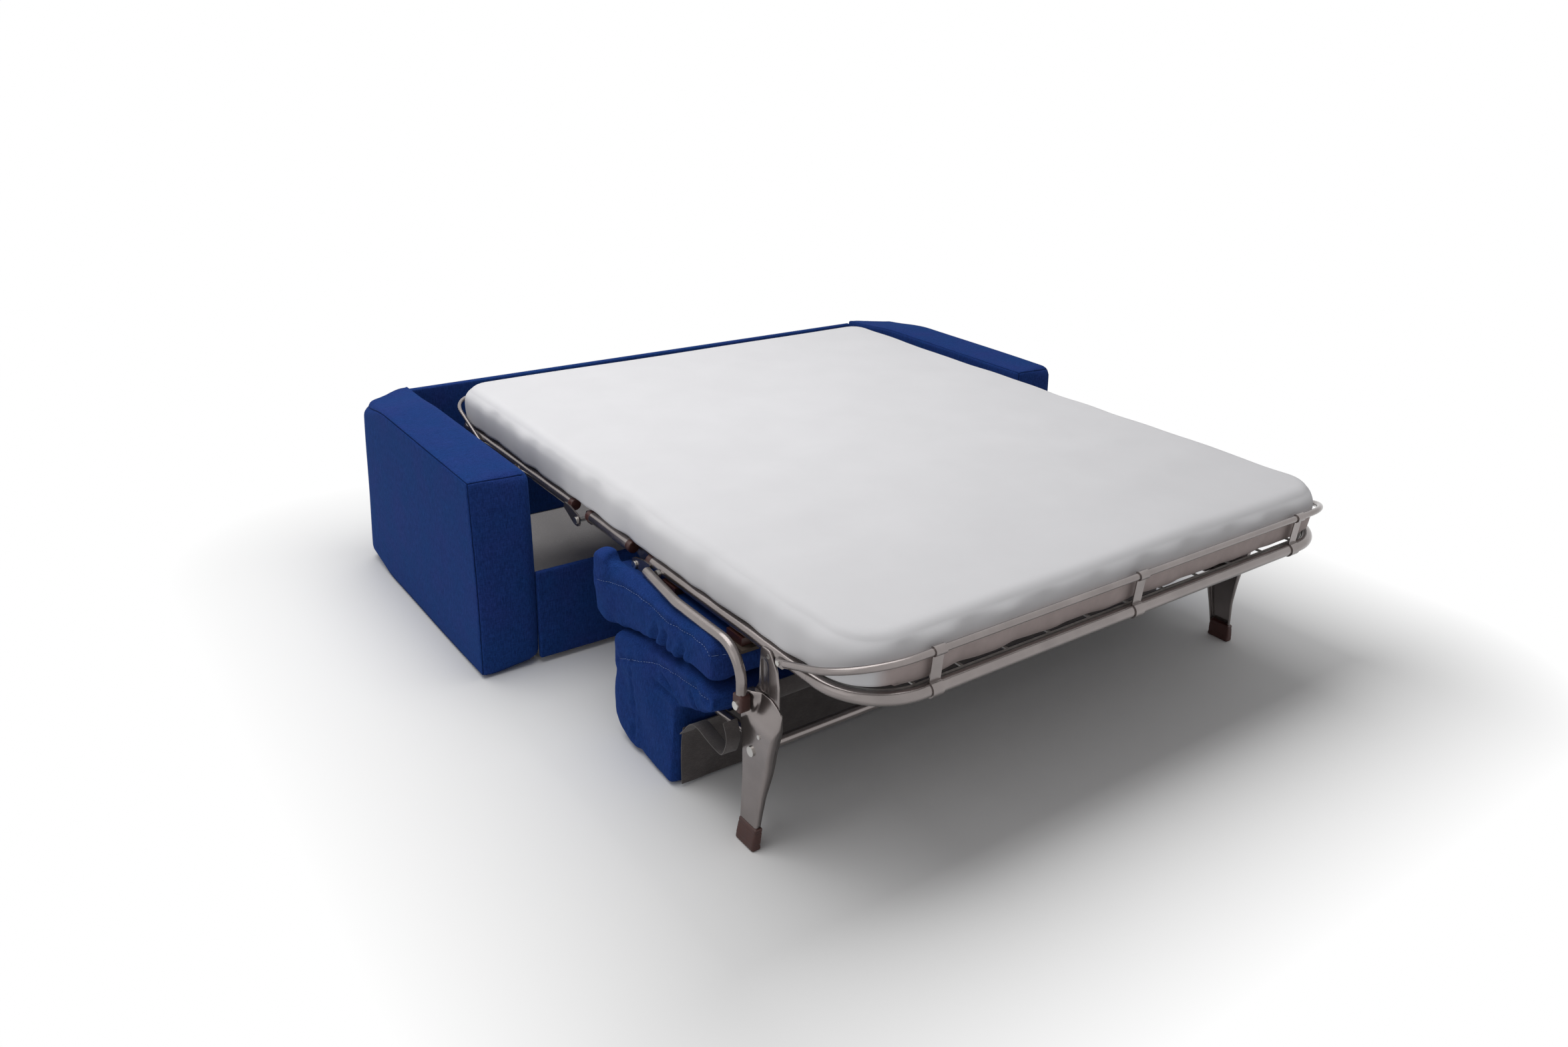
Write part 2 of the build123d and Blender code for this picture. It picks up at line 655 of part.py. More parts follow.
def seat_board():
    """The board that the seat cushion is fixed to."""
    half = SEAT_BED_HALF_WIDTH - BOARD_INSET
    low = SEAT_BED + SEAT_GAP
    return slab(-half, half, BOARD_REACH, SEAT_END_REACH - BOARD_SETBACK, low, low + BOARD_THICK)


def seat_spacers():
    """Blocks that hold the seat board under the side rails."""
    low = SEAT_BED + SEAT_GAP + BOARD_THICK
    high = RAIL_Z - RAIL_RADIUS - SEAT_GAP
    return both_sides(
        *[
            slab(RAIL_INNER_X, RAIL_OUTER_X, reach - SPACER_HALF, reach + SPACER_HALF, low, high)
            for reach in SPACER_REACHES
        ]
    )


# Backrest and legs


def leg():
    """A pressed steel leg: a shallow pan with a waisted outline and a turned-in rim."""
    left = LEG_REACH - LEG_FOOT_WIDTH / 2
    right = LEG_REACH + LEG_FOOT_WIDTH / 2
    points = [
        (left, BOOT_SOLE + SEAT_GAP),
        (right, BOOT_SOLE + SEAT_GAP),
        (right, BOOT_HEIGHT + 70),
        (PIVOT_REACH + 90, PIVOT_Z - 60),
        (PIVOT_REACH + 80, PIVOT_Z + 6),
        (PIVOT_REACH + 62, PIVOT_Z + 24),
        (PIVOT_REACH + 16, PIVOT_Z + LEG_LOBE),
        (PIVOT_REACH - LEG_LOBE, PIVOT_Z + LEG_LOBE),
        (PIVOT_REACH - LEG_LOBE, PIVOT_Z - 30),
        (CROSS_REACH - 36, CROSS_Z),
        (left, BOOT_HEIGHT + 12),
    ]
    radii = [3, 3, 150, 60, 24, 16, 12, LEG_LOBE - 1, 40, 120, 60]
    face = side_face(points, radii)
    pan = side_plate(face, LEG_INNER_X, LEG_OUTER_X)
    hollow = side_plate(offset(face, amount=-LEG_SHEET), LEG_INNER_X, LEG_OUTER_X - LEG_SHEET)
    eye = cross_rod(PIN_RADIUS + RUN_GAP, LEG_INNER_X, LEG_OUTER_X, PIVOT_REACH, PIVOT_Z)
    return pan - hollow - eye


def boot():
    """A plastic boot over the foot of a leg, with a flat sole."""
    half = LEG_FOOT_WIDTH / 2
    fit = SEAT_GAP
    outer = slab(
        LEG_INNER_X - BOOT_WALL,
        LEG_OUTER_X + BOOT_WALL,
        LEG_REACH - half - BOOT_WALL,
        LEG_REACH + half + BOOT_WALL,
        0,
        BOOT_HEIGHT,
    )
    outer = fillet(outer.edges().filter_by(Axis.Z), BOOT_WALL)
    pocket = slab(
        LEG_INNER_X - fit,
        LEG_OUTER_X + fit,
        LEG_REACH - half - fit,
        LEG_REACH + half + fit,
        BOOT_SOLE,
        BOOT_HEIGHT,
    )
    return outer - pocket


def leg_rivets():
    """Rivet heads on the outer faces of the legs."""
    face = LEG_OUTER_X
    cross = cross_rod(PIN_HEAD + 2, face, face + BOLT_HEAD, CROSS_REACH, CROSS_Z)
    small = cross_rod(PIN_RADIUS - 1, face, face + BOLT_HEAD / 2, PIVOT_REACH + 50, PIVOT_Z - 62)
    return both_sides(cross, small)


def limb_underside(reach):
    """The height of the underside of the backrest's thin limb, which rises away from the head."""
    low = SEAT_REAR_Z - BACK_GAP - BACK_LIMB_DROP - BACK_LIMB_EDGE
    start = inner_face_reach(BACK_INNER_Z)
    return BACK_INNER_Z + (low - BACK_INNER_Z) * (reach - start) / (BACK_LIMB_REACH - start)


def inner_face_reach(z):
    """The reach of the backrest head's inner face at a height: it leans a little."""
    return BACK_FRONT_REACH - BACK_LEAN * (z - BACK_FLOOR) / (BACK_INNER_Z - BACK_FLOOR)


def backrest_cushion():
    """The backrest, folded on to the seat: a thin limb and a thick head that hangs near the floor."""
    limb_high = SEAT_REAR_Z - BACK_GAP - BACK_LIMB_DROP
    points = [
        (BACK_REAR_REACH, BACK_FLOOR + 6),
        (BACK_FRONT_REACH, BACK_FLOOR),
        (inner_face_reach(BACK_INNER_Z), BACK_INNER_Z),
        (BACK_LIMB_REACH, limb_high - BACK_LIMB_EDGE),
        (BACK_LIMB_REACH, limb_high),
        (SEAT_REAR_REACH, SEAT_REAR_Z - BACK_GAP),
        (SEAT_MID_REACH, SEAT_MID_Z - BACK_GAP),
        (BACK_REAR_REACH + 2, SEAT_FRONT_Z + 11),
    ]
    return soft_form(points, [52, 16, 14, 12, 14, 200, 300, 40], SEAT_HALF_WIDTH, BACK_DRAW)


def backrest_frame():
    """The U of tube along the inner corner of the backrest, ending on the cross tube of the legs."""
    z = BACK_INNER_Z - BACK_TUBE_RADIUS - 1
    reach = inner_face_reach(z) + BACK_TUBE_RADIUS + SEAT_GAP
    end = CROSS_REACH - BRACE_RADIUS - SEAT_GAP
    points = [
        (-BACK_TUBE_X, end, CROSS_Z),
        (-BACK_TUBE_X, reach, z),
        (BACK_TUBE_X, reach, z),
        (BACK_TUBE_X, end, CROSS_Z),
    ]
    return bent_tube(points, BACK_TUBE_RADIUS, TUBE_WALL, [BACK_TUBE_BEND, BACK_TUBE_BEND])


def leg_cross_tube():
    """The tube that joins the two legs."""
    half = LEG_OUTER_X - LEG_SHEET - SEAT_GAP
    return bent_tube([(-half, CROSS_REACH, CROSS_Z), (half, CROSS_REACH, CROSS_Z)], BRACE_RADIUS, TUBE_WALL)


def felt_lining():
    """Felt sheets on the two inner faces of the backrest."""
    half = SEAT_HALF_WIDTH - 14
    near = FELT_THICK + SEAT_GAP
    low = BACK_FLOOR + 4
    high = BACK_INNER_Z - 30
    upright = [
        (inner_face_reach(low) + SEAT_GAP, low),
        (inner_face_reach(low) + near, low),
        (inner_face_reach(high) + near, high),
        (inner_face_reach(high) + SEAT_GAP, high),
    ]
    start = BACK_FRONT_REACH + 18
    end = BACK_LIMB_REACH - 6
    under = [
        (start, limb_underside(start) - SEAT_GAP),
        (start, limb_underside(start) - near),
        (end, limb_underside(end) - near),
        (end, limb_underside(end) - SEAT_GAP),
    ]
    sheets = [side_plate(side_face(points, [0, 0, 0, 0]), -half, half) for points in (upright, under)]
    return Compound(children=sheets)


def felt_flap():
    """A folded strip of felt at an end of the backrest: down, round a fold, and back up."""
    start = BACK_LIMB_REACH - 10
    top = limb_underside(start) - 1.5 * FELT_THICK
    path = FilletPolyline(
        (y_of(start), top),
        (y_of(start - 14), BACK_INNER_Z - 30),
        (y_of(BACK_FRONT_REACH + 24), BACK_INNER_Z - 2),
        radius=9,
    )
    strip = trace(path, FELT_THICK)
    return side_plate(strip, LEG_OUTER_X + BOLT_HEAD + 4, SEAT_HALF_WIDTH - 8)


# Nodes

rear_end = REAR_KNEE_REACH - FOLD_MARGIN
front_end = FRONT_KNEE_REACH + FOLD_MARGIN
lug_inner = RAIL_INNER_X - SEAT_GAP - LUG_THICK
head_stub = HEAD_REACH + HEAD_BEND + BEND_STUB
foot_stub = FOOT_REACH - FOOT_BEND - BEND_STUB
rear_cut = REAR_KNEE_REACH - RAIL_CUT
front_cut = FRONT_KNEE_REACH + RAIL_CUT
base_rail = rail(head_stub + SEAT_GAP, rear_cut)
knee_rail = rail(REAR_KNEE_REACH + RAIL_CUT, FRONT_KNEE_REACH - RAIL_CUT)
foot_rail = rail(front_cut, foot_stub - SEAT_GAP)
knee_lugs = [
    hinge_lug(REAR_KNEE_REACH, 1, lug_inner, PIN_RADIUS + SEAT_GAP),
    hinge_lug(FRONT_KNEE_REACH, -1, lug_inner, PIN_RADIUS + SEAT_GAP),
]
base_lugs = [hinge_lug(REAR_KNEE_REACH, -1, LUG_X, PIN_RADIUS + RUN_GAP)]
base_lugs += [link_lug(reach) for reach, link_x in (FRONT_LINK, REAR_LINK)]
foot_lug = hinge_lug(FRONT_KNEE_REACH, 1, LUG_X, PIN_RADIUS + RUN_GAP)
straps = [retaining_strap(x) for x in (-STRAP_X, 0, STRAP_X)]
knee_brace_reaches = (REAR_KNEE_REACH + KNEE_BRACE_SETBACK, FRONT_KNEE_REACH - KNEE_BRACE_SETBACK)
knee_braces = [brace(reach) for reach in knee_brace_reaches]
foot_braces = [brace(reach) for reach in FOOT_BRACE_REACHES]
base_braces = [brace(reach) for reach in BASE_BRACE_REACHES]

nodes = {
    "back_panel": panel(-ARM_DEPTH, BACK_PANEL_INNER, BACK_PANEL_TOP),
    "front_panel": panel(FRONT_PANEL_INNER, FRONT_PANEL_PROUD, FRONT_PANEL_TOP),
    "bottom_cover": bottom_cover(),
    "floor_glides": glides(),
    "bracket_bolts": bracket_bolts(),
    "link_pivots": both_sides(link_pivot(*FRONT_LINK), link_pivot(*REAR_LINK)),
    "base_hinge_lugs": both_sides(*base_lugs),
    "base_braces": Compound(children=base_braces),
    "head_tube": hoop(RAIL_X, head_stub, HEAD_REACH, RAIL_Z, RAIL_RADIUS, TUBE_WALL, HEAD_BEND),
    "head_retaining_bar": head_retaining_bar(),
    "front_link_shaft": link_shaft(*FRONT_LINK),
    "rear_link_shaft": link_shaft(*REAR_LINK),
    "base_mattress": mattress(HEAD_REACH + RAIL_RADIUS + 2, rear_end, rear_corner=HEAD_CORNER),
    "knee_lugs": both_sides(*knee_lugs),
    "knee_pins": both_sides(*[knee_pin(reach) for reach in (REAR_KNEE_REACH, FRONT_KNEE_REACH)]),
    "knee_braces": Compound(children=knee_braces),
    "knee_mattress": mattress(rear_end + SEAT_GAP, front_end - SEAT_GAP),
    "foot_hinge_lugs": both_sides(foot_lug),
    "foot_braces": Compound(children=foot_braces),
    "foot_tube": hoop(RAIL_X, foot_stub, FOOT_REACH, RAIL_Z, RAIL_RADIUS, TUBE_WALL, FOOT_BEND),
    "base_mesh": wire_mesh(HEAD_REACH + rim_gap(), rear_cut, rear_corner=HEAD_BEND - rim_gap()),
    "knee_mesh": wire_mesh(REAR_KNEE_REACH + RAIL_CUT, FRONT_KNEE_REACH - RAIL_CUT),
    "foot_mesh": wire_mesh(front_cut, FOOT_REACH - rim_gap(), front_corner=FOOT_BEND - rim_gap()),
    "foot_retaining_bar": foot_retaining_bar(),
    "bar_brackets": bar_brackets(),
    "retaining_straps": Compound(children=straps),
    "foot_mattress": mattress(front_end, FOOT_REACH - RAIL_RADIUS - 2, front_corner=MATTRESS_CORNER),
    "seat_tube_bosses": both_sides(seat_tube_boss()),
    "pivot_caps": both_sides(pivot_cap()),
    "pivot_pins": both_sides(pivot_pin()),
    "hanger_rivets": hanger_rivets(),
    "seat_board": seat_board(),
    "seat_spacers": seat_spacers(),
    "seat_cushion": seat_cushion(),
    "backrest_cushion": backrest_cushion(),
    "backrest_frame": backrest_frame(),
    "leg_cross_tube": leg_cross_tube(),
    "leg_rivets": leg_rivets(),
    "felt_lining": felt_lining(),
    "bracket_plates": both_sides(bracket_plate()),
    "leg_hangers": both_sides(leg_hanger()),
    "boots": both_sides(boot()),
    "felt_flaps": both_sides(felt_flap()),
}

paired = {
    "arm": arm(),
    "front_link": swing_link(*FRONT_LINK),
    "rear_link": swing_link(*REAR_LINK),
    "base_rail": base_rail,
    "knee_rail": knee_rail,
    "foot_rail": foot_rail,
    "seat_tube": seat_tube(),
    "leg": leg(),
}

for name, shape in paired.items():
    nodes["right_" + name] = shape
    nodes["left_" + name] = mirror(shape, about=Plane.YZ)

os.makedirs("parts", exist_ok=True)
for name, shape in nodes.items():
    export_step(shape, os.path.join("parts", name + ".step"))
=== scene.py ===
"""A sofa bed, open as a bed: velvet, mattress, felt and painted steel round the packed frame."""

import json

import bmesh
import bpy
import numpy as np
from bpy.props import FloatProperty, FloatVectorProperty, IntProperty, PointerProperty
from mathutils import Euler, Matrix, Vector
from mathutils.bvhtree import BVHTree


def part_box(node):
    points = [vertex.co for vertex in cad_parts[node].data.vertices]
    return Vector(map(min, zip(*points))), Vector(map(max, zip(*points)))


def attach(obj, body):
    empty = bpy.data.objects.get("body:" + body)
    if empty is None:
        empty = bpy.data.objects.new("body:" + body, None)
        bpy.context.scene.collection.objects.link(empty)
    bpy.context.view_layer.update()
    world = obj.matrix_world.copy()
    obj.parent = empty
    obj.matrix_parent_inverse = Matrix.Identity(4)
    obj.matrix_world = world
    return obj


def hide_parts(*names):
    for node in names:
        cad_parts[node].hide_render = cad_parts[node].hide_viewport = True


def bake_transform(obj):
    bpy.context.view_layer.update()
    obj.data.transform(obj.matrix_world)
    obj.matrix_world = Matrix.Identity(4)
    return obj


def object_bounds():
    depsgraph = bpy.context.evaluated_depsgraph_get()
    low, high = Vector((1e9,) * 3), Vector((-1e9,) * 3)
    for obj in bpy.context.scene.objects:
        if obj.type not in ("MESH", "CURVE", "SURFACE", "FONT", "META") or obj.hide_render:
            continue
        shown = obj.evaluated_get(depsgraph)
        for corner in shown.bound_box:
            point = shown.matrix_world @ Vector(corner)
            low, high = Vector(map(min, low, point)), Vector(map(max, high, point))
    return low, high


bl_info = {
    "name": "Sofa bed",
    "version": (1, 0, 0),
    "blender": (4, 5, 0),
    "location": "View3D > Sidebar > Sofa bed",
    "description": "Builds the upholstery and the finishes of a sofa bed round its packed frame",
    "category": "Object",
}

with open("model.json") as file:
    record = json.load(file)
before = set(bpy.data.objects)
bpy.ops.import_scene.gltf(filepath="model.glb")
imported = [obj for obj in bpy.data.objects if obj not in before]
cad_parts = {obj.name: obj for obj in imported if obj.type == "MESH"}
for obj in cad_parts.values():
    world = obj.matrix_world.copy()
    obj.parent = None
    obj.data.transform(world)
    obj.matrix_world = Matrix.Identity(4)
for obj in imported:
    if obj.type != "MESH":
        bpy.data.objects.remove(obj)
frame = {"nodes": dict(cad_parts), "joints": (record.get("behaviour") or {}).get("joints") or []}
CAD_BOX = [list(corner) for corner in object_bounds()]
NODES = frame["nodes"]
PLACES = {joint["name"]: joint["pos_m"] for joint in frame["joints"]}
PIVOT_Y, PIVOT_Z = PLACES["backrest_turn"][1:]
REAR_KNEE_Y = PLACES["rear_knee"][1]
FRONT_KNEE_Y = PLACES["front_knee"][1]


# Sizes and colours that a user would change


def size_field(name, description, default):
    """A length that a user would change."""
    return FloatProperty(name=name, description=description, default=default, unit="LENGTH")


def colour_field(name, description, default):
    """A colour that a user would change."""
    return FloatVectorProperty(name=name, description=description, default=default, size=3, subtype="COLOR")


class ShellSizes(bpy.types.PropertyGroup):
    """Sizes of the velvet shell."""

    edge_round: size_field("Seamed edge", "Radius of the seamed edges of an arm", 0.013)
    plain_round: size_field("Plain edge", "Radius of an arm's edges on the side with no seam", 0.036)
    tail_round: size_field("Back edge", "Radius of an arm's edges at the back", 0.048)
    panel_round: size_field("Panel edge", "Radius of the edges of the two panels", 0.006)
    seam_depth: size_field("Seam depth", "How deep a seam sinks into the cloth", 0.0026)
    seam_width: size_field("Seam width", "Half width of the sunk line of a seam", 0.0022)
    crown: size_field("Crown", "How far padding stands out in the middle of a face", 0.003)
    front_swell: size_field("Front swell", "How far an arm's front swells forward", 0.010)
    back_sweep: size_field("Back sweep", "How far an arm's outer back corner curves forward", 0.105)
    back_drop: size_field("Back drop", "How far the arms and the back panel fall at the back", 0.018)
    clear: size_field("Floor gap", "Height of the arms' cloth above the floor", 0.005)
    unevenness: size_field("Unevenness", "Height of the soft waves of the cloth", 0.0007)


class MattressSizes(bpy.types.PropertyGroup):
    """Sizes of the mattress."""

    top_round: size_field("Top edge", "Radius of the upper edge", 0.046)
    low_round: size_field("Lower edge", "Radius of the lower edge", 0.016)
    foot_corner: size_field("Foot corner", "Corner radius at the foot, seen from above", 0.118)
    head_corner: size_field("Head corner", "Corner radius at the head, seen from above", 0.085)
    overhang: size_field("Overhang", "How far the sides stand out over the rails", 0.033)
    cell: size_field("Cell", "Spacing of the cloth's points", 0.017)
    hinge_run: size_field("Hinge run", "Length over which a fold bends, each way", 0.130)
    wrinkle: size_field("Wrinkle", "Height of the cover's soft wrinkles", 0.0016)


class CushionSizes(bpy.types.PropertyGroup):
    """Sizes of the seat and backrest cushions."""

    voxel: size_field("Cell", "Spacing of the cloth's points", 0.0105)
    slack: size_field("Start inset", "How much smaller a cushion starts", 0.003)
    fullness: size_field("Fullness", "How much fuller the free back of a cushion is cut", 0.024)
    spread: FloatProperty(
        name="Spread", description="Length of the cut as a share of the solid", default=1.010
    )
    pressure: FloatProperty(name="Filling", description="Pressure of the filling", default=4.0)
    travel: size_field("Travel", "The furthest that filling moves the cloth", 0.012)
    frames: IntProperty(name="Frames", description="Steps of the cloth simulation", default=20)


class LegSizes(bpy.types.PropertyGroup):
    """Sizes of the pressed legs and their boots."""

    lean: size_field("Lean", "How far a leg's foot stands out beyond its top", 0.026)
    knee: size_field("Lean from", "Height where a leg starts to lean", 0.205)
    bend: size_field("Bend", "Radius of a leg's pressed edges", 0.007)
    wall: size_field("Sheet", "Thickness of the pressed sheet", 0.0022)


class Colours(bpy.types.PropertyGroup):
    """Colours of the finishes."""

    velvet: colour_field("Velvet", "Colour of the pile", (0.0175, 0.060, 0.245))
    velvet_deep: colour_field("Deep velvet", "Colour between the pile", (0.0065, 0.025, 0.112))
    paint: colour_field("Frame paint", "Colour of the tubes", (0.255, 0.226, 0.219))
    brown: colour_field("Brown plastic", "Colour of caps and boots", (0.055, 0.017, 0.013))
    cover: colour_field("Mattress cover", "Colour of the cover", (0.800, 0.795, 0.815))
    # Painted shade: a shaded beige for the white cover low on the mattress's foot side.
    foot_shade: colour_field("Mattress border", "Colour of its lower side", (0.560, 0.470, 0.455))
    felt: colour_field("Felt", "Colour of the felt", (0.080, 0.069, 0.068))
    lining: colour_field("Lining", "Colour of the shell's lining", (0.620, 0.590, 0.570))


class StageSizes(bpy.types.PropertyGroup):
    """Camera, lamps and floor."""

    camera_place: FloatVectorProperty(
        name="Camera",
        description="Place of the camera",
        default=(-2.0465, -2.5030, 1.6790),
        size=3,
        subtype="TRANSLATION",
    )
    camera_turn: FloatVectorProperty(
        name="Camera turn",
        description="Turn of the camera",
        default=(1.157858, -0.031210, -0.624350),
        size=3,
        subtype="EULER",
    )
    lens: FloatProperty(name="Lens", description="Focal length in millimetres", default=26.52)
    floor: size_field("Floor", "Width of the floor", 60.0)
    sky: FloatProperty(name="Sky", description="Strength of the even light from all round", default=0.30)
    key: FloatProperty(name="Key lamp", description="Power of the large lamp above", default=95.0)
    side: FloatProperty(name="Side lamp", description="Power of the lamp at the left", default=9.0)


# Working out surfaces


def box_of(node):
    """The lowest and the highest corner of a node, as arrays."""
    return [np.array(corner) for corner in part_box(node)]


def unit(vectors):
    """Vectors of length one along the last axis."""
    return vectors / np.maximum(np.linalg.norm(vectors, axis=-1, keepdims=True), 1e-12)


def ease(low, high, values):
    """A smooth step from 0 at low to 1 at high, which may be the smaller number."""
    share = np.clip((values - low) / (high - low), 0, 1)
    return share * share * (3 - 2 * share)


def waves(points, length, seed, count=12):
    """Soft unevenness of about one either way: sines of about that length in random directions, added up."""
    draws = np.random.default_rng(seed)
    directions = unit(draws.normal(size=(count, 3)))
    pitch = 2 * np.pi / (length * draws.uniform(0.7, 1.6, count))
    phase = draws.uniform(0, 2 * np.pi, count)
    return np.sin(points @ (directions * pitch[:, None]).T + phase).sum(axis=1) * (2 / count) ** 0.5


def bell(distance, width):
    """One at no distance, falling off on both sides: e to the minus square of the distance over the width."""
    return np.exp(-((distance / width) ** 2))


def segment_distance(points, start, end):
    """How far points lie from the straight line between two ends."""
    start = np.asarray(start, float)
    run = np.asarray(end, float) - start
    share = np.clip((points - start) @ run / (run @ run), 0, 1)
    return np.linalg.norm(points - start - share[:, None] * run, axis=1)


def graded(low, high, cell, fine=()):
    """Places from low to high about a cell apart, with extra ones at fine distances from both ends."""
    inner = np.linspace(low, high, max(2, round((high - low) / cell) + 1))
    reach = max(fine, default=0)
    inner = inner[(inner > low + reach + cell / 4) & (inner < high - reach - cell / 4)]
    near = np.asarray(fine, float)
    return np.sort(np.concatenate([[low, high], low + near, high - near, inner]))


def box_grid(xs, ys, zs):
    """The six faces of a box as grids of quads that share their edges.

    Each face is the plane of two of the three lists of places. Points that fall together are made one.
    """
    points, quads = [], []
    count = 0
    lists = (xs, ys, zs)
    for fixed in range(3):
        first, second = [axis for axis in range(3) if axis != fixed]
        a, b = np.meshgrid(lists[first], lists[second], indexing="ij")
        quad = strip_quads(*a.shape)
        for end, flip in ((0, fixed != 1), (-1, fixed == 1)):
            face = np.empty((a.size, 3))
            face[:, fixed] = lists[fixed][end]
            face[:, first] = a.ravel()
            face[:, second] = b.ravel()
            points.append(face)
            quads.append((quad[:, ::-1] if flip else quad) + count)
            count += len(face)
    points = np.concatenate(points)
    first_of, merged = np.unique(np.round(points, 7), axis=0, return_index=True, return_inverse=True)[1:]
    return points[first_of], merged.ravel()[np.concatenate(quads)]


def graded_box(low, high, cells, fine):
    """The grid of a box with a cell and fine distances of its own along each axis."""
    return box_grid(*[graded(*row) for row in zip(low, high, cells, fine)])


def rounded(points, low, high, radius):
    """A box with round edges, and the way out at each point.

    A point's core is the nearest place at least a radius inside the box. The point goes a radius away from
    its core, in the direction that it had. The radius may differ from point to point.
    """
    radius = np.broadcast_to(np.asarray(radius, float), len(points))[:, None]
    core = np.clip(points, np.asarray(low) + radius, np.asarray(high) - radius)
    out = unit(points - core)
    return core + out * radius, out


def closed_outline(corners, radii, count):
    """Evenly spaced points round a polygon whose corners are arcs.

    Each corner is cut back along both sides by its radius over the tangent of half its angle. An arc about
    the point on the corner's middle line joins the cuts. The whole line is then sampled at equal steps.
    """
    corners = np.asarray(corners, float)
    radii = np.asarray(radii, float)[:, None]
    before = unit(np.roll(corners, 1, axis=0) - corners)
    after = unit(np.roll(corners, -1, axis=0) - corners)
    half = np.arccos(np.clip((before * after).sum(axis=1), -1, 1))[:, None] / 2
    centre = corners + unit(before + after) * radii / np.sin(half)
    start = corners + before * radii / np.tan(half) - centre
    end = corners + after * radii / np.tan(half) - centre
    sweep = np.pi - 2 * half[:, :, None]
    share = np.linspace(0, 1, 9)[None, :, None]
    arcs = np.sin((1 - share) * sweep) * start[:, None] + np.sin(share * sweep) * end[:, None]
    line = (centre[:, None] + arcs / np.sin(sweep)).reshape(-1, 2)
    line = np.concatenate([line, line[:1]])
    return sampled(line, np.linspace(0, distances(line)[-1], count, endpoint=False))


def inward(outline):
    """The direction into a closed outline at each of its points."""
    along = unit(np.roll(outline, -1, axis=0) - np.roll(outline, 1, axis=0))
    x, y = outline.T
    turn = np.sign((x * np.roll(y, -1) - y * np.roll(x, -1)).sum())
    return np.stack([-along[:, 1], along[:, 0]], axis=1) * turn


def spline(points, count):
    """A smooth line near a row of points: a cubic B-spline whose ends are the first and the last of them.

    The first and the last point count three times. On each stretch the line is the sum of four points times
    the four cubic blending weights.
    """
    points = np.asarray(points, float)
    hull = np.concatenate([points[:1], points[:1], points, points[-1:], points[-1:]])
    place = np.linspace(0, len(hull) - 3, count)
    first = np.minimum(place.astype(int), len(hull) - 4)
    t = (place - first)[:, None]
    weights = ((1 - t) ** 3, 3 * t**3 - 6 * t**2 + 4, -3 * t**3 + 3 * t**2 + 3 * t + 1, t**3)
    return sum(weight * hull[first + step] for step, weight in enumerate(weights)) / 6


def distances(line):
    """How far along a line each of its points is."""
    return np.concatenate([[0], np.cumsum(np.linalg.norm(np.diff(line, axis=0), axis=1))])


def sampled(line, steps):
    """The places on a flat line that are so far along it."""
    along = distances(line)
    return np.stack([np.interp(steps, along, line[:, axis]) for axis in range(2)], axis=-1)


def stacked(rings, heights):
    """The points of flat rings, one ring after another, each at its own height."""
    levels = np.broadcast_to(heights[:, None, None], (*rings.shape[:2], 1))
    return np.concatenate([rings, levels], axis=2).reshape(-1, 3)


def pressed(outline, middle, depth, bend, closed=False):
    """A pressed plate: a wall up from the outline, a quarter round, then a face.

    At an angle t of the quarter round the line has drawn in by the bend's radius times 1 minus cosine t and
    has risen by the radius times sine t. The face is the last line, drawn towards the middle by shares.
    Points are ahead, up and out. A closed plate also has a flat back.
    """
    angle = np.linspace(0, np.pi / 2, 8)
    inset = np.concatenate([[0.0], bend * (1 - np.cos(angle))])
    level = np.concatenate([[0.0], depth - bend + bend * np.sin(angle)])
    rim = outline[None] + inward(outline)[None] * inset[:, None, None]
    share = np.linspace(1, 0, 26)[1:-1]
    face = middle + (rim[-1] - middle)[None] * share[:, None, None]
    rings = np.concatenate([rim, face])
    heights = np.concatenate([level, np.full(len(share), depth)])
    count = len(outline)
    points = np.concatenate([stacked(rings, heights), [[*middle, 0.0], [*middle, depth]]])
    ends = fans(len(rings), count)
    return points, [ring_quads(len(rings), count), ends if closed else ends[count:]]


def ring_quads(rings, count):
    """Quads between closed rings of so many points each."""
    index = np.arange(rings * count).reshape(rings, count)
    ahead = np.roll(index, -1, axis=1)
    return np.stack([index[:-1], ahead[:-1], ahead[1:], index[1:]], axis=-1).reshape(-1, 4)


def strip_quads(rows, columns):
    """Quads of an open grid."""
    index = np.arange(rows * columns).reshape(rows, columns)
    quad = np.stack([index[:-1, :-1], index[1:, :-1], index[1:, 1:], index[:-1, 1:]], axis=-1)
    return quad.reshape(-1, 4)


def fans(rings, count):
    """Triangles from the first and the last ring to a middle point for each, which come after the rings."""
    index = np.arange(rings * count).reshape(rings, count)
    first, last = index[0], index[-1]
    low = np.stack([np.roll(first, -1), first, np.full(count, rings * count)], axis=1)
    high = np.stack([last, np.roll(last, -1), np.full(count, rings * count + 1)], axis=1)
    return np.concatenate([low, high])


def signed_volume(points, faces):
    """Six times the volume between faces and the points' middle, below zero where they point inwards."""
    points = points - points.mean(axis=0)
    return sum(
        np.einsum("ij,ij->i", points[f[:, 0]], np.cross(points[f[:, k]], points[f[:, k + 1]])).sum()
        for f in faces
        for k in range(1, f.shape[1] - 1)
    )


# Pieces


def hold(mesh, name, values):
    """Gives a mesh a number at each point, which a finish can read."""
    mesh.attributes.new(name, "FLOAT", "POINT").data.foreach_set("value", values.astype(np.float32))


def make_piece(name, points, faces, material, smooth=True):
    """A mesh object from arrays of points and of faces with as many corners each, pointing outwards."""
    faces = [faces] if isinstance(faces, np.ndarray) else list(faces)
    mesh = bpy.data.meshes.new(name)
    mesh.from_pydata(points.tolist(), [], [corner for part in faces for corner in part.tolist()])
    mesh.polygons.foreach_set("use_smooth", np.full(len(mesh.polygons), smooth))
    mesh.materials.append(material)
    mesh.update()
    piece = bpy.data.objects.new(name, mesh)
    bpy.context.scene.collection.objects.link(piece)
    return piece


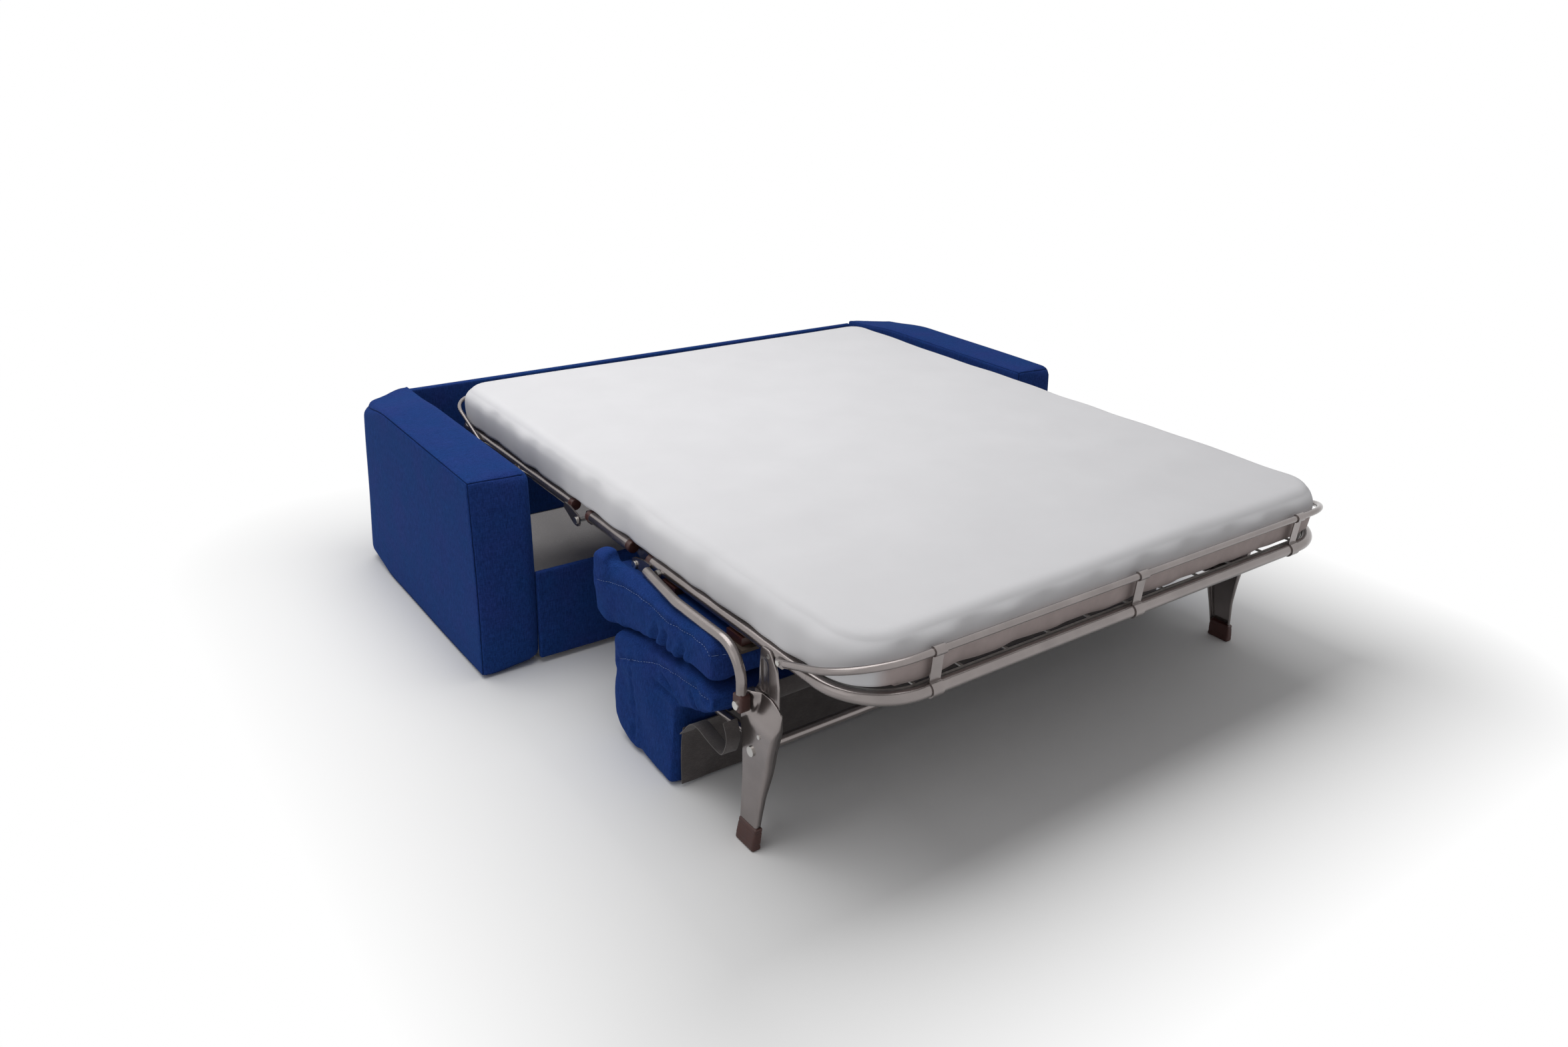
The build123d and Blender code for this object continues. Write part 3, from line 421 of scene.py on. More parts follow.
def closed_piece(name, points, faces, material):
    """A closed piece from a list of arrays of faces, turned outwards if they point in."""
    if signed_volume(points, faces) < 0:
        faces = [part[:, ::-1] for part in faces]
    return make_piece(name, points, faces, material)


def mirrored(points):
    """The same points on the other side of the middle plane."""
    return points * np.array([-1.0, 1.0, 1.0])


def thicken(piece, name, thickness, offset):
    """Gives a sheet its thickness, half of it each way at an offset of 0 and all of it inwards at -1."""
    wall = piece.modifiers.new(name, "SOLIDIFY")
    wall.thickness = thickness
    wall.offset = offset


def mesh_points(mesh):
    """The points of a mesh as an array."""
    points = np.empty(len(mesh.vertices) * 3)
    mesh.vertices.foreach_get("co", points)
    return points.reshape(-1, 3)


def set_points(mesh, points):
    """Puts an array of points into a mesh."""
    mesh.vertices.foreach_set("co", np.ascontiguousarray(points).ravel())
    mesh.update()


def point_normals(mesh):
    """The way out at each point of a mesh."""
    normals = np.empty(len(mesh.vertices) * 3)
    mesh.vertex_normals.foreach_get("vector", normals)
    return normals.reshape(-1, 3)


def settled(piece):
    """The piece's mesh as its modifiers leave it, in place of the one that it had."""
    view = bpy.context.evaluated_depsgraph_get()
    mesh = bpy.data.meshes.new_from_object(piece.evaluated_get(view))
    piece.modifiers.clear()
    piece.data = mesh
    return mesh


def relaxed(mesh, rounds, share=0.5):
    """Points moved a share of the way to the mean of their neighbours, so many times."""
    points = mesh_points(mesh)
    edges = np.empty(len(mesh.edges) * 2, np.int64)
    mesh.edges.foreach_get("vertices", edges)
    first, second = edges.reshape(-1, 2).T
    ends = np.concatenate([first, second])
    others = np.concatenate([second, first])
    number = np.bincount(ends, minlength=len(points))[:, None]
    for _ in range(rounds):
        total = [np.bincount(ends, points[others, axis], len(points)) for axis in range(3)]
        points = points + share * (np.stack(total, axis=1) / number - points)
    return points


def filled(piece, sizes):
    """Fills a cushion: its cloth swells under pressure, with no weight, and no point goes past the travel."""
    start = mesh_points(piece.data)
    cloth = piece.modifiers.new("Filling", "CLOTH").settings
    cloth.quality = 4
    cloth.mass = 0.25
    cloth.tension_stiffness = 14
    cloth.compression_stiffness = 10
    cloth.shear_stiffness = 6
    cloth.bending_stiffness = 0.4
    cloth.use_pressure = True
    cloth.uniform_pressure_force = sizes.pressure
    cloth.shrink_min = -0.03
    cloth.effector_weights.gravity = 0
    scene = bpy.context.scene
    for number in range(1, sizes.frames + 1):
        scene.frame_set(number)
    end = mesh_points(settled(piece))
    scene.frame_set(1)
    moved = end - start
    far = np.linalg.norm(moved, axis=1, keepdims=True)
    set_points(piece.data, start + moved * np.minimum(1, sizes.travel / np.maximum(far, 1e-9)))


# Finishes


class Finish:
    """One procedural material: a principled shader and short calls for the nodes that feed it."""

    def __init__(self, name, sockets):
        self.material = bpy.data.materials.new(name)
        self.material.use_nodes = True
        self.tree = self.material.node_tree
        self.shader = self.tree.nodes["Principled BSDF"]
        self.place = self.tree.nodes.new("ShaderNodeTexCoord").outputs["Object"]
        for socket, value in sockets.items():
            self.shader.inputs[socket].default_value = value

    def join(self, output, socket):
        self.tree.links.new(output, socket)

    def noise(self, scale, detail=2.0, stretch=(1, 1, 1), rough=0.5):
        """Cloudy grey from 0 to 1, so many clouds to the metre, longer along an axis with a small stretch."""
        mapping = self.tree.nodes.new("ShaderNodeMapping")
        mapping.inputs["Scale"].default_value = [scale * share for share in stretch]
        texture = self.tree.nodes.new("ShaderNodeTexNoise")
        texture.inputs["Scale"].default_value = 1.0
        texture.inputs["Detail"].default_value = detail
        texture.inputs["Roughness"].default_value = rough
        self.join(self.place, mapping.inputs["Vector"])
        self.join(mapping.outputs["Vector"], texture.inputs["Vector"])
        return texture.outputs["Fac"]

    def spread(self, value, low, high, start=0.0, end=1.0):
        """A value taken from low to high over to start to end."""
        node = self.tree.nodes.new("ShaderNodeMapRange")
        for socket, number in zip(("From Min", "From Max", "To Min", "To Max"), (low, high, start, end)):
            node.inputs[socket].default_value = number
        self.join(value, node.inputs["Value"])
        return node.outputs["Result"]

    def sum(self, first, second, share):
        """The first value with a share of the second added."""
        node = self.tree.nodes.new("ShaderNodeMath")
        node.operation = "MULTIPLY_ADD"
        node.inputs[1].default_value = share
        self.join(second, node.inputs[0])
        self.join(first, node.inputs[2])
        return node.outputs[0]

    def mix(self, factor, first, second):
        """A colour between two, each given as a colour or as another node's output."""
        node = self.tree.nodes.new("ShaderNodeMix")
        node.data_type = "RGBA"
        self.join(factor, node.inputs["Factor"])
        for socket, colour in ((node.inputs[6], first), (node.inputs[7], second)):
            if isinstance(colour, bpy.types.NodeSocket):
                self.join(colour, socket)
            else:
                socket.default_value = (*colour, 1)
        return node.outputs[2]

    def tones(self, factor, colour, low, high):
        """A colour times a share between low and high."""
        return self.mix(factor, darker(colour, low), darker(colour, high))

    def attribute(self, name):
        """A number that the piece's mesh holds at each point."""
        node = self.tree.nodes.new("ShaderNodeAttribute")
        node.attribute_name = name
        return node.outputs["Fac"]

    def colour(self, output):
        self.join(output, self.shader.inputs["Base Color"])

    def rough(self, output):
        self.join(output, self.shader.inputs["Roughness"])

    def bump(self, height, distance, strength=1.0):
        """Relief of that distance from a height of 0 to 1."""
        node = self.tree.nodes.new("ShaderNodeBump")
        node.inputs["Strength"].default_value = strength
        node.inputs["Distance"].default_value = distance
        self.join(height, node.inputs["Height"])
        self.join(node.outputs["Normal"], self.shader.inputs["Normal"])


def darker(colour, share):
    """A colour times a share, or times one share for each of red, green and blue."""
    return tuple(np.multiply(colour, share))


def velvet():
    """Short blue pile: a nap in cloudy patches, streaks of thread, painted shade along the seams' grooves and
    a soft sheen.
    """
    colours = bpy.context.scene.sofa_colours
    finish = Finish(
        "velvet",
        {
            "Roughness": 0.88,
            "Specular IOR Level": 0.05,
            "Sheen Weight": 0.08,
            "Sheen Roughness": 0.45,
            "Sheen Tint": (0.12, 0.34, 1.0, 1),
        },
    )
    threads = finish.noise(420, 3, (1, 1, 0.16), 0.62)
    cross = finish.noise(420, 3, (0.16, 1, 1), 0.62)
    patches = finish.noise(9, 4)
    pile = finish.sum(threads, cross, 0.6)
    depth = finish.spread(pile, 0.55, 1.05)
    grain = finish.mix(depth, colours.velvet_deep, colours.velvet)
    warm = (1.45, 0.92, 1.0)
    worn = finish.mix(depth, darker(colours.velvet_deep, warm), darker(colours.velvet, warm))
    nap = finish.mix(finish.spread(patches, 0.38, 0.70), grain, worn)
    # Painted shade: the velvet darkens along the seams, as if their sunk grooves lay in shade.
    finish.colour(finish.mix(finish.attribute("seam"), nap, darker(colours.velvet_deep, 0.45)))
    finish.bump(pile, 0.0007, 0.8)
    return finish.material


def frame_paint():
    """Glossy taupe paint with faint orange peel and a little wear in its gloss."""
    colours = bpy.context.scene.sofa_colours
    finish = Finish("frame_paint", {"Metallic": 0.82, "Coat Weight": 0.35, "Coat Roughness": 0.08})
    cloud = finish.noise(14, 5)
    peel = finish.noise(650, 2)
    finish.colour(finish.tones(finish.spread(cloud, 0.3, 0.7), colours.paint, 0.86, 1.1))
    finish.rough(finish.spread(cloud, 0.3, 0.75, 0.18, 0.28))
    finish.bump(peel, 0.00012, 0.6)
    return finish.material


def bare_steel():
    """Zinc plated steel with fine scratches."""
    finish = Finish("bare_steel", {"Metallic": 1.0})
    cloud = finish.noise(60, 4)
    scratch = finish.noise(900, 2, (1, 0.08, 1))
    finish.colour(finish.mix(cloud, (0.52, 0.51, 0.49), (0.70, 0.69, 0.66)))
    finish.rough(finish.spread(cloud, 0.3, 0.7, 0.22, 0.42))
    finish.bump(scratch, 0.00008, 0.5)
    return finish.material


def wire():
    """Drawn wire with a dull zinc coat."""
    finish = Finish("mesh_wire", {"Metallic": 0.9})
    cloud = finish.noise(120, 3)
    finish.colour(finish.mix(cloud, (0.30, 0.30, 0.29), (0.48, 0.47, 0.46)))
    finish.rough(finish.spread(cloud, 0.3, 0.7, 0.38, 0.55))
    finish.bump(cloud, 0.0001, 0.5)
    return finish.material


def brown_plastic():
    """Moulded brown plastic with a fine grain."""
    colours = bpy.context.scene.sofa_colours
    finish = Finish("brown_plastic", {"Specular IOR Level": 0.5})
    grain = finish.noise(1500, 2)
    cloud = finish.noise(40, 3)
    finish.colour(finish.tones(cloud, colours.brown, 0.8, 1.25))
    finish.rough(finish.spread(cloud, 0.3, 0.7, 0.36, 0.52))
    finish.bump(grain, 0.00015, 0.6)
    return finish.material


def board():
    """Brown hardboard: long fibres over a mottled ground."""
    finish = Finish("board", {"Specular IOR Level": 0.3})
    fibre = finish.noise(240, 4, (0.1, 1, 1))
    speck = finish.noise(700, 2)
    finish.colour(finish.mix(finish.sum(fibre, speck, 0.3), (0.022, 0.017, 0.013), (0.075, 0.055, 0.042)))
    finish.rough(finish.spread(fibre, 0.3, 0.7, 0.62, 0.8))
    finish.bump(fibre, 0.0003, 0.6)
    return finish.material


def mattress_cover():
    """White woven cover, with painted shade in beige low on its foot side, where that side lies in shadow."""
    colours = bpy.context.scene.sofa_colours
    sheen = {"Sheen Weight": 0.12, "Sheen Roughness": 0.5}
    finish = Finish("mattress_cover", {"Roughness": 0.82, "Specular IOR Level": 0.25, **sheen})
    weave = finish.sum(finish.noise(1300, 2, (1, 0.25, 1)), finish.noise(1300, 2, (0.25, 1, 1)), 1.0)
    cloud = finish.noise(7, 3)
    cover = finish.tones(finish.spread(cloud, 0.35, 0.7), colours.cover, 0.985, 1.01)
    # Painted shade: a beige that darkens the cover low on the foot side.
    foot_shade = finish.tones(finish.noise(45, 4), colours.foot_shade, 0.85, 1.12)
    finish.colour(finish.mix(finish.attribute("foot_shade"), cover, foot_shade))
    finish.bump(weave, 0.0004, 0.5)
    return finish.material


def felt_cloth():
    """Needled felt: short light and dark fibres in all directions."""
    colours = bpy.context.scene.sofa_colours
    sheen = {"Sheen Weight": 0.25, "Sheen Roughness": 0.6}
    finish = Finish("felt", {"Roughness": 0.95, "Specular IOR Level": 0.1, **sheen})
    fibre = finish.sum(finish.noise(520, 4, (1, 0.22, 1), 0.7), finish.noise(520, 4, (0.22, 1, 1), 0.7), 1.0)
    cloud = finish.noise(25, 3)
    ground = finish.tones(finish.spread(fibre, 0.7, 1.3), colours.felt, 0.55, 1.7)
    finish.colour(finish.mix(finish.spread(cloud, 0.35, 0.7), ground, darker(colours.felt, 0.8)))
    finish.bump(fibre, 0.0009, 0.8)
    return finish.material


def lining_cloth():
    """Pale pressed fibre cloth with a dotted bond."""
    colours = bpy.context.scene.sofa_colours
    finish = Finish("lining", {"Roughness": 0.9, "Specular IOR Level": 0.15})
    fibre = finish.noise(360, 4, (1, 0.3, 1), 0.7)
    cloud = finish.noise(9, 3)
    ground = finish.tones(finish.spread(fibre, 0.35, 0.7), colours.lining, 0.85, 1.1)
    finish.colour(finish.mix(finish.spread(cloud, 0.35, 0.7), ground, darker(colours.lining, 0.9)))
    finish.bump(fibre, 0.0005, 0.7)
    return finish.material


def thread():
    """Pale blue thread with the twist of its strands."""
    finish = Finish("thread", {"Roughness": 0.7, "Specular IOR Level": 0.3})
    twist = finish.noise(1800, 2)
    finish.colour(finish.mix(twist, (0.10, 0.16, 0.38), (0.26, 0.36, 0.62)))
    finish.bump(twist, 0.0002, 0.6)
    return finish.material


FINISHES = {
    "thread": thread,
    "velvet": velvet,
    "frame_paint": frame_paint,
    "steel": bare_steel,
    "mesh_wire": wire,
    "brown_plastic": brown_plastic,
    "board": board,
    "mattress_cover": mattress_cover,
    "felt": felt_cloth,
    "lining": lining_cloth,
}
MATERIALS = {}


def material_of(slot):
    """The finish of a slot, made when it is first asked for."""
    if slot not in MATERIALS:
        MATERIALS[slot] = FINISHES[slot]()
    return MATERIALS[slot]


# Operators, one for each piece or group of like pieces


class SOFA_OT_stage(bpy.types.Operator):
    """Set up the floor, the lamps and the camera"""

    bl_idname = "sofa.stage"
    bl_label = "Stage"

    FADE = 0.60
    KEY_PLACE, KEY_TURN, KEY_WIDTH = (-0.9, 0.9, 3.6), (0.22, -0.20, 0), 3.6
    SIDE_PLACE, SIDE_TURN, SIDE_WIDTH = (-4.2, -0.9, 2.2), (0, -1.05, 0.15), 2.6

    def execute(self, context):
        sizes = context.scene.sofa_stage
        scene = context.scene
        scene.view_settings.view_transform = "Standard"
        world = bpy.data.worlds.new("sky")
        world.use_nodes = True
        scene.world = world
        self.light_sky(world.node_tree, sizes.sky)
        self.add_floor(sizes.floor)
        self.add_lamp("key_lamp", self.KEY_PLACE, self.KEY_TURN, self.KEY_WIDTH, sizes.key)
        self.add_lamp("side_lamp", self.SIDE_PLACE, self.SIDE_TURN, self.SIDE_WIDTH, sizes.side)
        camera = bpy.data.cameras.new("camera")
        camera.sensor_fit = "HORIZONTAL"
        camera.sensor_width = 36.0
        camera.lens = sizes.lens
        holder = bpy.data.objects.new("camera", camera)
        holder.location = sizes.camera_place
        holder.rotation_euler = Euler(sizes.camera_turn)
        scene.collection.objects.link(holder)
        scene.camera = holder
        return {"FINISHED"}

    def light_sky(self, tree, strength):
        """Even light, and plain white where the camera or a reflection looks past the floor."""
        backdrop = tree.nodes["Background"]
        backdrop.inputs["Color"].default_value = (1, 1, 1, 1)
        level = tree.nodes.new("ShaderNodeMapRange")
        level.inputs["To Min"].default_value = strength
        level.inputs["To Max"].default_value = 1.0
        tree.links.new(self.looked_at(tree), level.inputs["Value"])
        tree.links.new(level.outputs["Result"], backdrop.inputs["Strength"])

    def looked_at(self, tree):
        """One where the camera or a reflection looks, and nothing for light that only bounces there."""
        path = tree.nodes.new("ShaderNodeLightPath")
        seen = tree.nodes.new("ShaderNodeMath")
        seen.operation = "MAXIMUM"
        tree.links.new(path.outputs["Is Camera Ray"], seen.inputs[0])
        tree.links.new(path.outputs["Is Glossy Ray"], seen.inputs[1])
        return seen.outputs[0]

    def add_floor(self, width):
        """A level square of pale floor."""
        half = width / 2
        corners = np.array([[-half, -half, 0], [half, -half, 0], [half, half, 0], [-half, half, 0]], float)
        finish = Finish("floor", {"Roughness": 0.9, "Specular IOR Level": 0.0})
        cloud = finish.noise(3, 2)
        finish.colour(finish.mix(cloud, (0.92, 0.92, 0.92), (0.94, 0.94, 0.94)))
        self.fade(finish)
        face = np.array([[0, 1, 2, 3]])
        floor = make_piece("floor", corners, face, finish.material, smooth=False)

    def fade(self, finish):
        """Turns the floor to plain white away from the object, where the camera or a reflection looks at it.

        How far a place is from the frame's box is the length of its distance from the box's middle less half
        the box, along each axis and not below nothing.
        """
        nodes = finish.tree.nodes
        middle = (np.array(CAD_BOX[0]) + CAD_BOX[1]) / 2
        half = (np.array(CAD_BOX[1]) - CAD_BOX[0]) / 2
        steps = (
            ("SUBTRACT", middle),
            ("ABSOLUTE", None),
            ("SUBTRACT", half),
            ("MAXIMUM", (0, 0, 0)),
            ("LENGTH", None),
        )
        near = finish.place
        for operation, value in steps:
            far = nodes.new("ShaderNodeVectorMath")
            far.operation = operation
            finish.join(near, far.inputs[0])
            if value is not None:
                far.inputs[1].default_value = value
            near = far.outputs[0]
        both = nodes.new("ShaderNodeMath")
        both.operation = "MULTIPLY"
        finish.join(finish.spread(far.outputs["Value"], 0.0, self.FADE), both.inputs[0])
        finish.join(self.looked_at(finish.tree), both.inputs[1])
        white = nodes.new("ShaderNodeEmission")
        white.inputs["Color"].default_value = (1, 1, 1, 1)
        blend = nodes.new("ShaderNodeMixShader")
        finish.join(both.outputs[0], blend.inputs[0])
        finish.join(finish.shader.outputs[0], blend.inputs[1])
        finish.join(white.outputs[0], blend.inputs[2])
        finish.join(blend.outputs[0], nodes["Material Output"].inputs["Surface"])

    def add_lamp(self, name, place, turn, width, power):
        """A square lamp of soft light."""
        lamp = bpy.data.lights.new(name, "AREA")
        lamp.size = width
        lamp.energy = power
        holder = bpy.data.objects.new(name, lamp)
        holder.location = place
        holder.rotation_euler = Euler(turn)
        bpy.context.scene.collection.objects.link(holder)


class SOFA_OT_steelwork(bpy.types.Operator):
    """Give the frame's own metal, plastic and board their finishes"""

    bl_idname = "sofa.steelwork"
    bl_label = "Steelwork"

    def execute(self, context):
        for node in NODES.values():
            if node.data.materials:
                slot = node.data.materials[0].name
                node.data.materials.clear()
                node.data.materials.append(material_of(slot))
        return {"FINISHED"}


class SOFA_OT_arms(bpy.types.Operator):
    """Upholster both arms"""

    bl_idname = "sofa.arms"
    bl_label = "Arms"

    CELL = 0.022
    FINE = (0.0012, 0.0026, 0.0044, 0.0068, 0.0100, 0.0140, 0.0190, 0.0250, 0.0330)
    WAVE_LENGTH = 0.30
    GATHER_LENGTH, GATHER_WIDTH = 0.026, 0.018
    SHADE_WIDTH = 0.0024

    def execute(self, context):
        low, high = box_of("right_arm")
        low[2] = context.scene.sofa_shell.clear
        for side in ("right", "left"):
            points, quads, seam = self.arm(low, high, context.scene.sofa_shell, side == "left")
            if side == "left":
                points, quads = mirrored(points), quads[:, ::-1]
            piece = make_piece(side + "_arm_cover", points, quads, material_of("velvet"))
            # The seam numbers are painted shade along the arm's seams, which the velvet reads.
            hold(piece.data, "seam", seam)
            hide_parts(side + "_arm")
            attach(piece, "shell")
        return {"FINISHED"}

    def arm(self, low, high, sizes, seam_outside):
        """An arm, as it stands on the right: a box with round edges, tight at the seams and wide opposite.

        The faces stand out in the middle. Along each seam the cloth sinks by depth times e to the minus
        square of the distance over the width, and beside it the cloth gathers in short ripples. The outer
        back corner curves forward, ever more towards the top, and the top falls a little at the back.
        """
        points, quads = graded_box(low, high, (self.CELL,) * 3, (self.FINE,) * 3)
        share = (points - low) / (high - low)
        plain_side = 1 - ease(0.15, 0.85, share[:, 0] if seam_outside else 1 - share[:, 0])
        towards_back = ease(0.75, 1.0, share[:, 1])
        tail = sizes.edge_round + (sizes.tail_round - sizes.edge_round) * ease(0.15, 0.75, share[:, 0])
        radius = sizes.edge_round + (sizes.plain_round - sizes.edge_round) * plain_side
        radius = radius + (tail - radius) * towards_back
        place, out = rounded(points, low, high, radius)
        edge = high[0] if seam_outside else low[0]
        plain_edge = low[0] + sizes.edge_round if seam_outside else high[0] - sizes.edge_round
        corner = (edge, low[1], high[2])
        seams = [
            (corner, (edge, high[1], high[2])),
            (corner, (edge, low[1], low[2])),
            ((plain_edge, low[1], high[2]), corner),
            ((edge, high[1], high[2]), (edge, high[1], low[2])),
        ]
        distance = np.min([segment_distance(points, *seam) for seam in seams], axis=0)
        middle = np.prod(1 - (2 * share - 1) ** 4 * (np.abs(out) < 0.7), axis=1)
        on_bed_side = ease(0.3, 0.9, -out[:, 0])
        lift = sizes.crown * (middle - 1) * (1 - on_bed_side)
        lift += sizes.unevenness * waves(points, self.WAVE_LENGTH, 3) * (1 - on_bed_side)
        lift += sizes.unevenness * waves(points, self.GATHER_LENGTH, 5) * bell(distance, self.GATHER_WIDTH)
        tight = 1 - 0.8 * ease(0.72, 0.90, share[:, 1])
        lift -= sizes.seam_depth * tight * bell(distance, sizes.seam_width)
        place = place + out * lift[:, None]
        swell = np.sin(np.pi * np.clip(share[:, 2], 0, 1) ** 0.8) * (1 - ease(0.0, 0.2, share[:, 1]))
        place[:, 1] -= sizes.front_swell * swell
        sweep = sizes.back_sweep * (0.12 + 0.88 * share[:, 2]) * (0.20 + 0.80 * share[:, 0] ** 1.15)
        place[:, 1] -= sweep * ease(0.55, 1.0, share[:, 1])
        place[:, 2] -= sizes.back_drop * share[:, 2] * ease(0.66, 1.0, share[:, 1])
        # The last array is painted shade along the seams, strongest in their sunk grooves.
        return place, quads, bell(distance, self.SHADE_WIDTH)


class SOFA_OT_panels(bpy.types.Operator):
    """Upholster the front and the back panel"""

    bl_idname = "sofa.panels"
    bl_label = "Panels"

    CELLS = (0.030, 0.006, 0.024)
    FINE = (0.0015, 0.0035, 0.006, 0.010, 0.016, 0.026)
    WAVE_LENGTH = 0.35

    def execute(self, context):
        sizes = context.scene.sofa_shell
        # How far each panel's top is lowered, and how far its ends reach into the arms
        rows = (("front_panel", 0, 0.006), ("back_panel", sizes.back_drop, 0.016))
        for number, (name, drop, tuck) in enumerate(rows):
            low, high = box_of(name)
            high[2] -= drop
            low[0] -= tuck
            high[0] += tuck
            points, quads = self.panel(low, high, sizes, seed=11 + number)
            piece = make_piece(name + "_cover", points, quads, material_of("velvet"))
            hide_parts(name)
            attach(piece, "shell")
        return {"FINISHED"}

    def panel(self, low, high, sizes, seed):
        """A covered board: a box with round edges whose broad faces have soft waves, fading at the edges."""
        points, quads = graded_box(low, high, self.CELLS, (self.FINE, self.FINE[:2], self.FINE))
        place, out = rounded(points, low, high, sizes.panel_round)
        inside = np.minimum(points - low, high - points)[:, [0, 2]].min(axis=1)
        soft = ease(0, 0.06, inside)
        lift = sizes.unevenness * (waves(points, self.WAVE_LENGTH, seed) - 1) * soft
        return place + out * lift[:, None], quads


class SOFA_OT_lining(bpy.types.Operator):
    """Stretch the pale lining under the shell"""

    bl_idname = "sofa.lining"
    bl_label = "Lining"

    INSET = 0.012
    WAVE, WAVE_LENGTH = 0.0012, 0.22
    THICKNESS = 0.0016

    def execute(self, context):
        low, high = box_of("bottom_cover")
        low[1] += self.INSET
        high[1] -= self.INSET
        xs = np.linspace(low[0], high[0], 120)
        ys = np.linspace(low[1], high[1], 70)
        x, y = np.meshgrid(xs, ys, indexing="ij")
        points = np.stack([x.ravel(), y.ravel(), np.full(x.size, (low[2] + high[2]) / 2)], axis=1)
        inside = np.minimum(points - low, high - points)[:, :2].min(axis=1)
        folds = waves(points * np.array([1, 1, 0]), self.WAVE_LENGTH, 21)
        points[:, 2] += self.WAVE * folds * ease(0, 0.08, inside)
        quads = strip_quads(*x.shape)
        piece = make_piece("bottom_lining", points, quads, material_of("lining"))
        thicken(piece, "Cloth", self.THICKNESS, 0)
        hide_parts("bottom_cover")
        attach(piece, "shell")
        return {"FINISHED"}


class SOFA_OT_mattress(bpy.types.Operator):
    """Make the mattress in two parts that meet in the middle of the knee"""

    bl_idname = "sofa.mattress"
    bl_label = "Mattress"

    FINE = (0.005, 0.010, 0.016, 0.023, 0.031, 0.040, 0.051)
    HEAD_REACH = 0.012
    SIDE_BAND = 0.060
    RAIL_TUCK = 0.004
    BAR_START, BAR_END, BAR_TUCK = 0.26, 0.16, 0.007
    BELLY = 0.005
    # Heights over which the painted shade low on the foot side fades out
    BORDER_FULL, BORDER_END = 0.055, 0.085

    def execute(self, context):
        sizes = context.scene.sofa_mattress
        head_low, head_high = box_of("base_mattress")
        foot_low, foot_high = box_of("foot_mattress")
        low = np.minimum(head_low, foot_low)
        high = np.maximum(head_high, foot_high)
        split = (REAR_KNEE_Y + FRONT_KNEE_Y) / 2
        points, quads, foot_shade = self.mattress(low, high, split, sizes)
        self.part("mattress_head", points, quads, foot_shade, split, 1)
        self.part("mattress_foot", points, quads, foot_shade, split, -1)
        head = bpy.data.objects["mattress_head"]
        foot = bpy.data.objects["mattress_foot"]
        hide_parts("base_mattress", "knee_mattress")
        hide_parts("foot_mattress")
        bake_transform(head)
        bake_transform(foot)
        return {"FINISHED"}

    def mattress(self, low, high, split, sizes):
        """The whole mattress as a grid on a box, wider than its solid by the overhang.

        Seen from above, each corner square becomes a quarter disc: with both distances a and b from the
        corner's core as shares of its radius, a is times the root of 1 minus half of b squared, and b the
        same way. Then the upper and lower edges are rounded: the distance to the side and the distance to
        the top or bottom, as far as they are less than the edge's radius, are taken on to its quarter round.
        """
        low = low - np.array([sizes.overhang, 0.0, 0.0])
        high = high + np.array([sizes.overhang, self.HEAD_REACH, 0.0])
        xs = graded(low[0], high[0], sizes.cell, self.FINE)
        foot_ys = graded(low[1], split, sizes.cell, self.FINE)
        head_ys = graded(split, high[1], sizes.cell, self.FINE)
        ys = np.concatenate([foot_ys, head_ys[1:]])
        zs = np.linspace(low[2], high[2], 17)
        points, quads = box_grid(xs, ys, zs)
        corner = np.where(points[:, 1] < split, sizes.foot_corner, sizes.head_corner)[:, None]
        core = np.clip(points[:, :2], low[:2] + corner, high[:2] - corner)
        share = (points[:, :2] - core) / corner
        place = points.copy()
        place[:, :2] = core + corner * share * np.sqrt(1 - share[:, ::-1] ** 2 / 2)
        away = place[:, :2] - core
        reach = np.linalg.norm(away, axis=1)
        side = np.minimum(high[:2] - place[:, :2], place[:, :2] - low[:2]).min(axis=1)
        inside = np.where((np.abs(share) > 1e-6).all(axis=1), corner[:, 0] - reach, side)
        outwards = unit(np.where(np.abs(away) > 1e-6, away, 0.0))
        up = (points[:, 2] - low[2]) / (high[2] - low[2])
        middle = (low[2] + high[2]) / 2
        radius = np.where(points[:, 2] > middle, sizes.top_round, sizes.low_round)
        near_side = np.clip(radius - inside, 0, None)
        near_level = np.clip(radius - np.minimum(high[2] - points[:, 2], points[:, 2] - low[2]), 0, None)
        length = np.maximum(np.hypot(near_side, near_level), 1e-9)
        edge = (near_side > 0) & (near_level > 0)
        shrink = np.where(edge, radius / length, 1.0)
        place[:, :2] += outwards * (near_side * (shrink - 1))[:, None]
        place[:, 2] += np.sign(points[:, 2] - middle) * near_level * (shrink - 1)
        at_side = ease(self.SIDE_BAND, 0.0, inside)
        over_rail = ease(0.005, 0.015, points[:, 2] - low[2])
        long_side = np.abs(share[:, 0]) > 1e-6
        tuck = at_side * (sizes.overhang + self.RAIL_TUCK) * (1 - over_rail) * long_side
        place[:, :2] -= outwards * tuck[:, None]
        by_bar = ease(low[1] + self.BAR_START, low[1] + self.BAR_END, points[:, 1]) * at_side * long_side
        place[:, 0] -= np.sign(points[:, 0]) * self.BAR_TUCK * by_bar
        place[:, :2] += outwards * (self.BELLY * (np.sin(np.pi * up) - 0.8) * at_side)[:, None]
        top = ease(0.6, 1.0, up) * ease(0.0, 0.12, inside)
        spot = place.copy()
        folds = waves(spot * np.array([1, 1, 0.2]), 0.45, 31) * (0.4 + 0.6 * top)
        folds += 0.55 * waves(spot * np.array([0.45, 1, 0.3]), 0.16, 33)
        place[:, 2] += sizes.wrinkle * folds * ease(0.45, 1.0, up)
        bulge = waves(spot * np.array([1, 1, 0.25]), 0.10, 35) * at_side * (1 - ease(0.75, 1.0, up))
        place[:, :2] += outwards * (1.4 * sizes.wrinkle * bulge)[:, None]
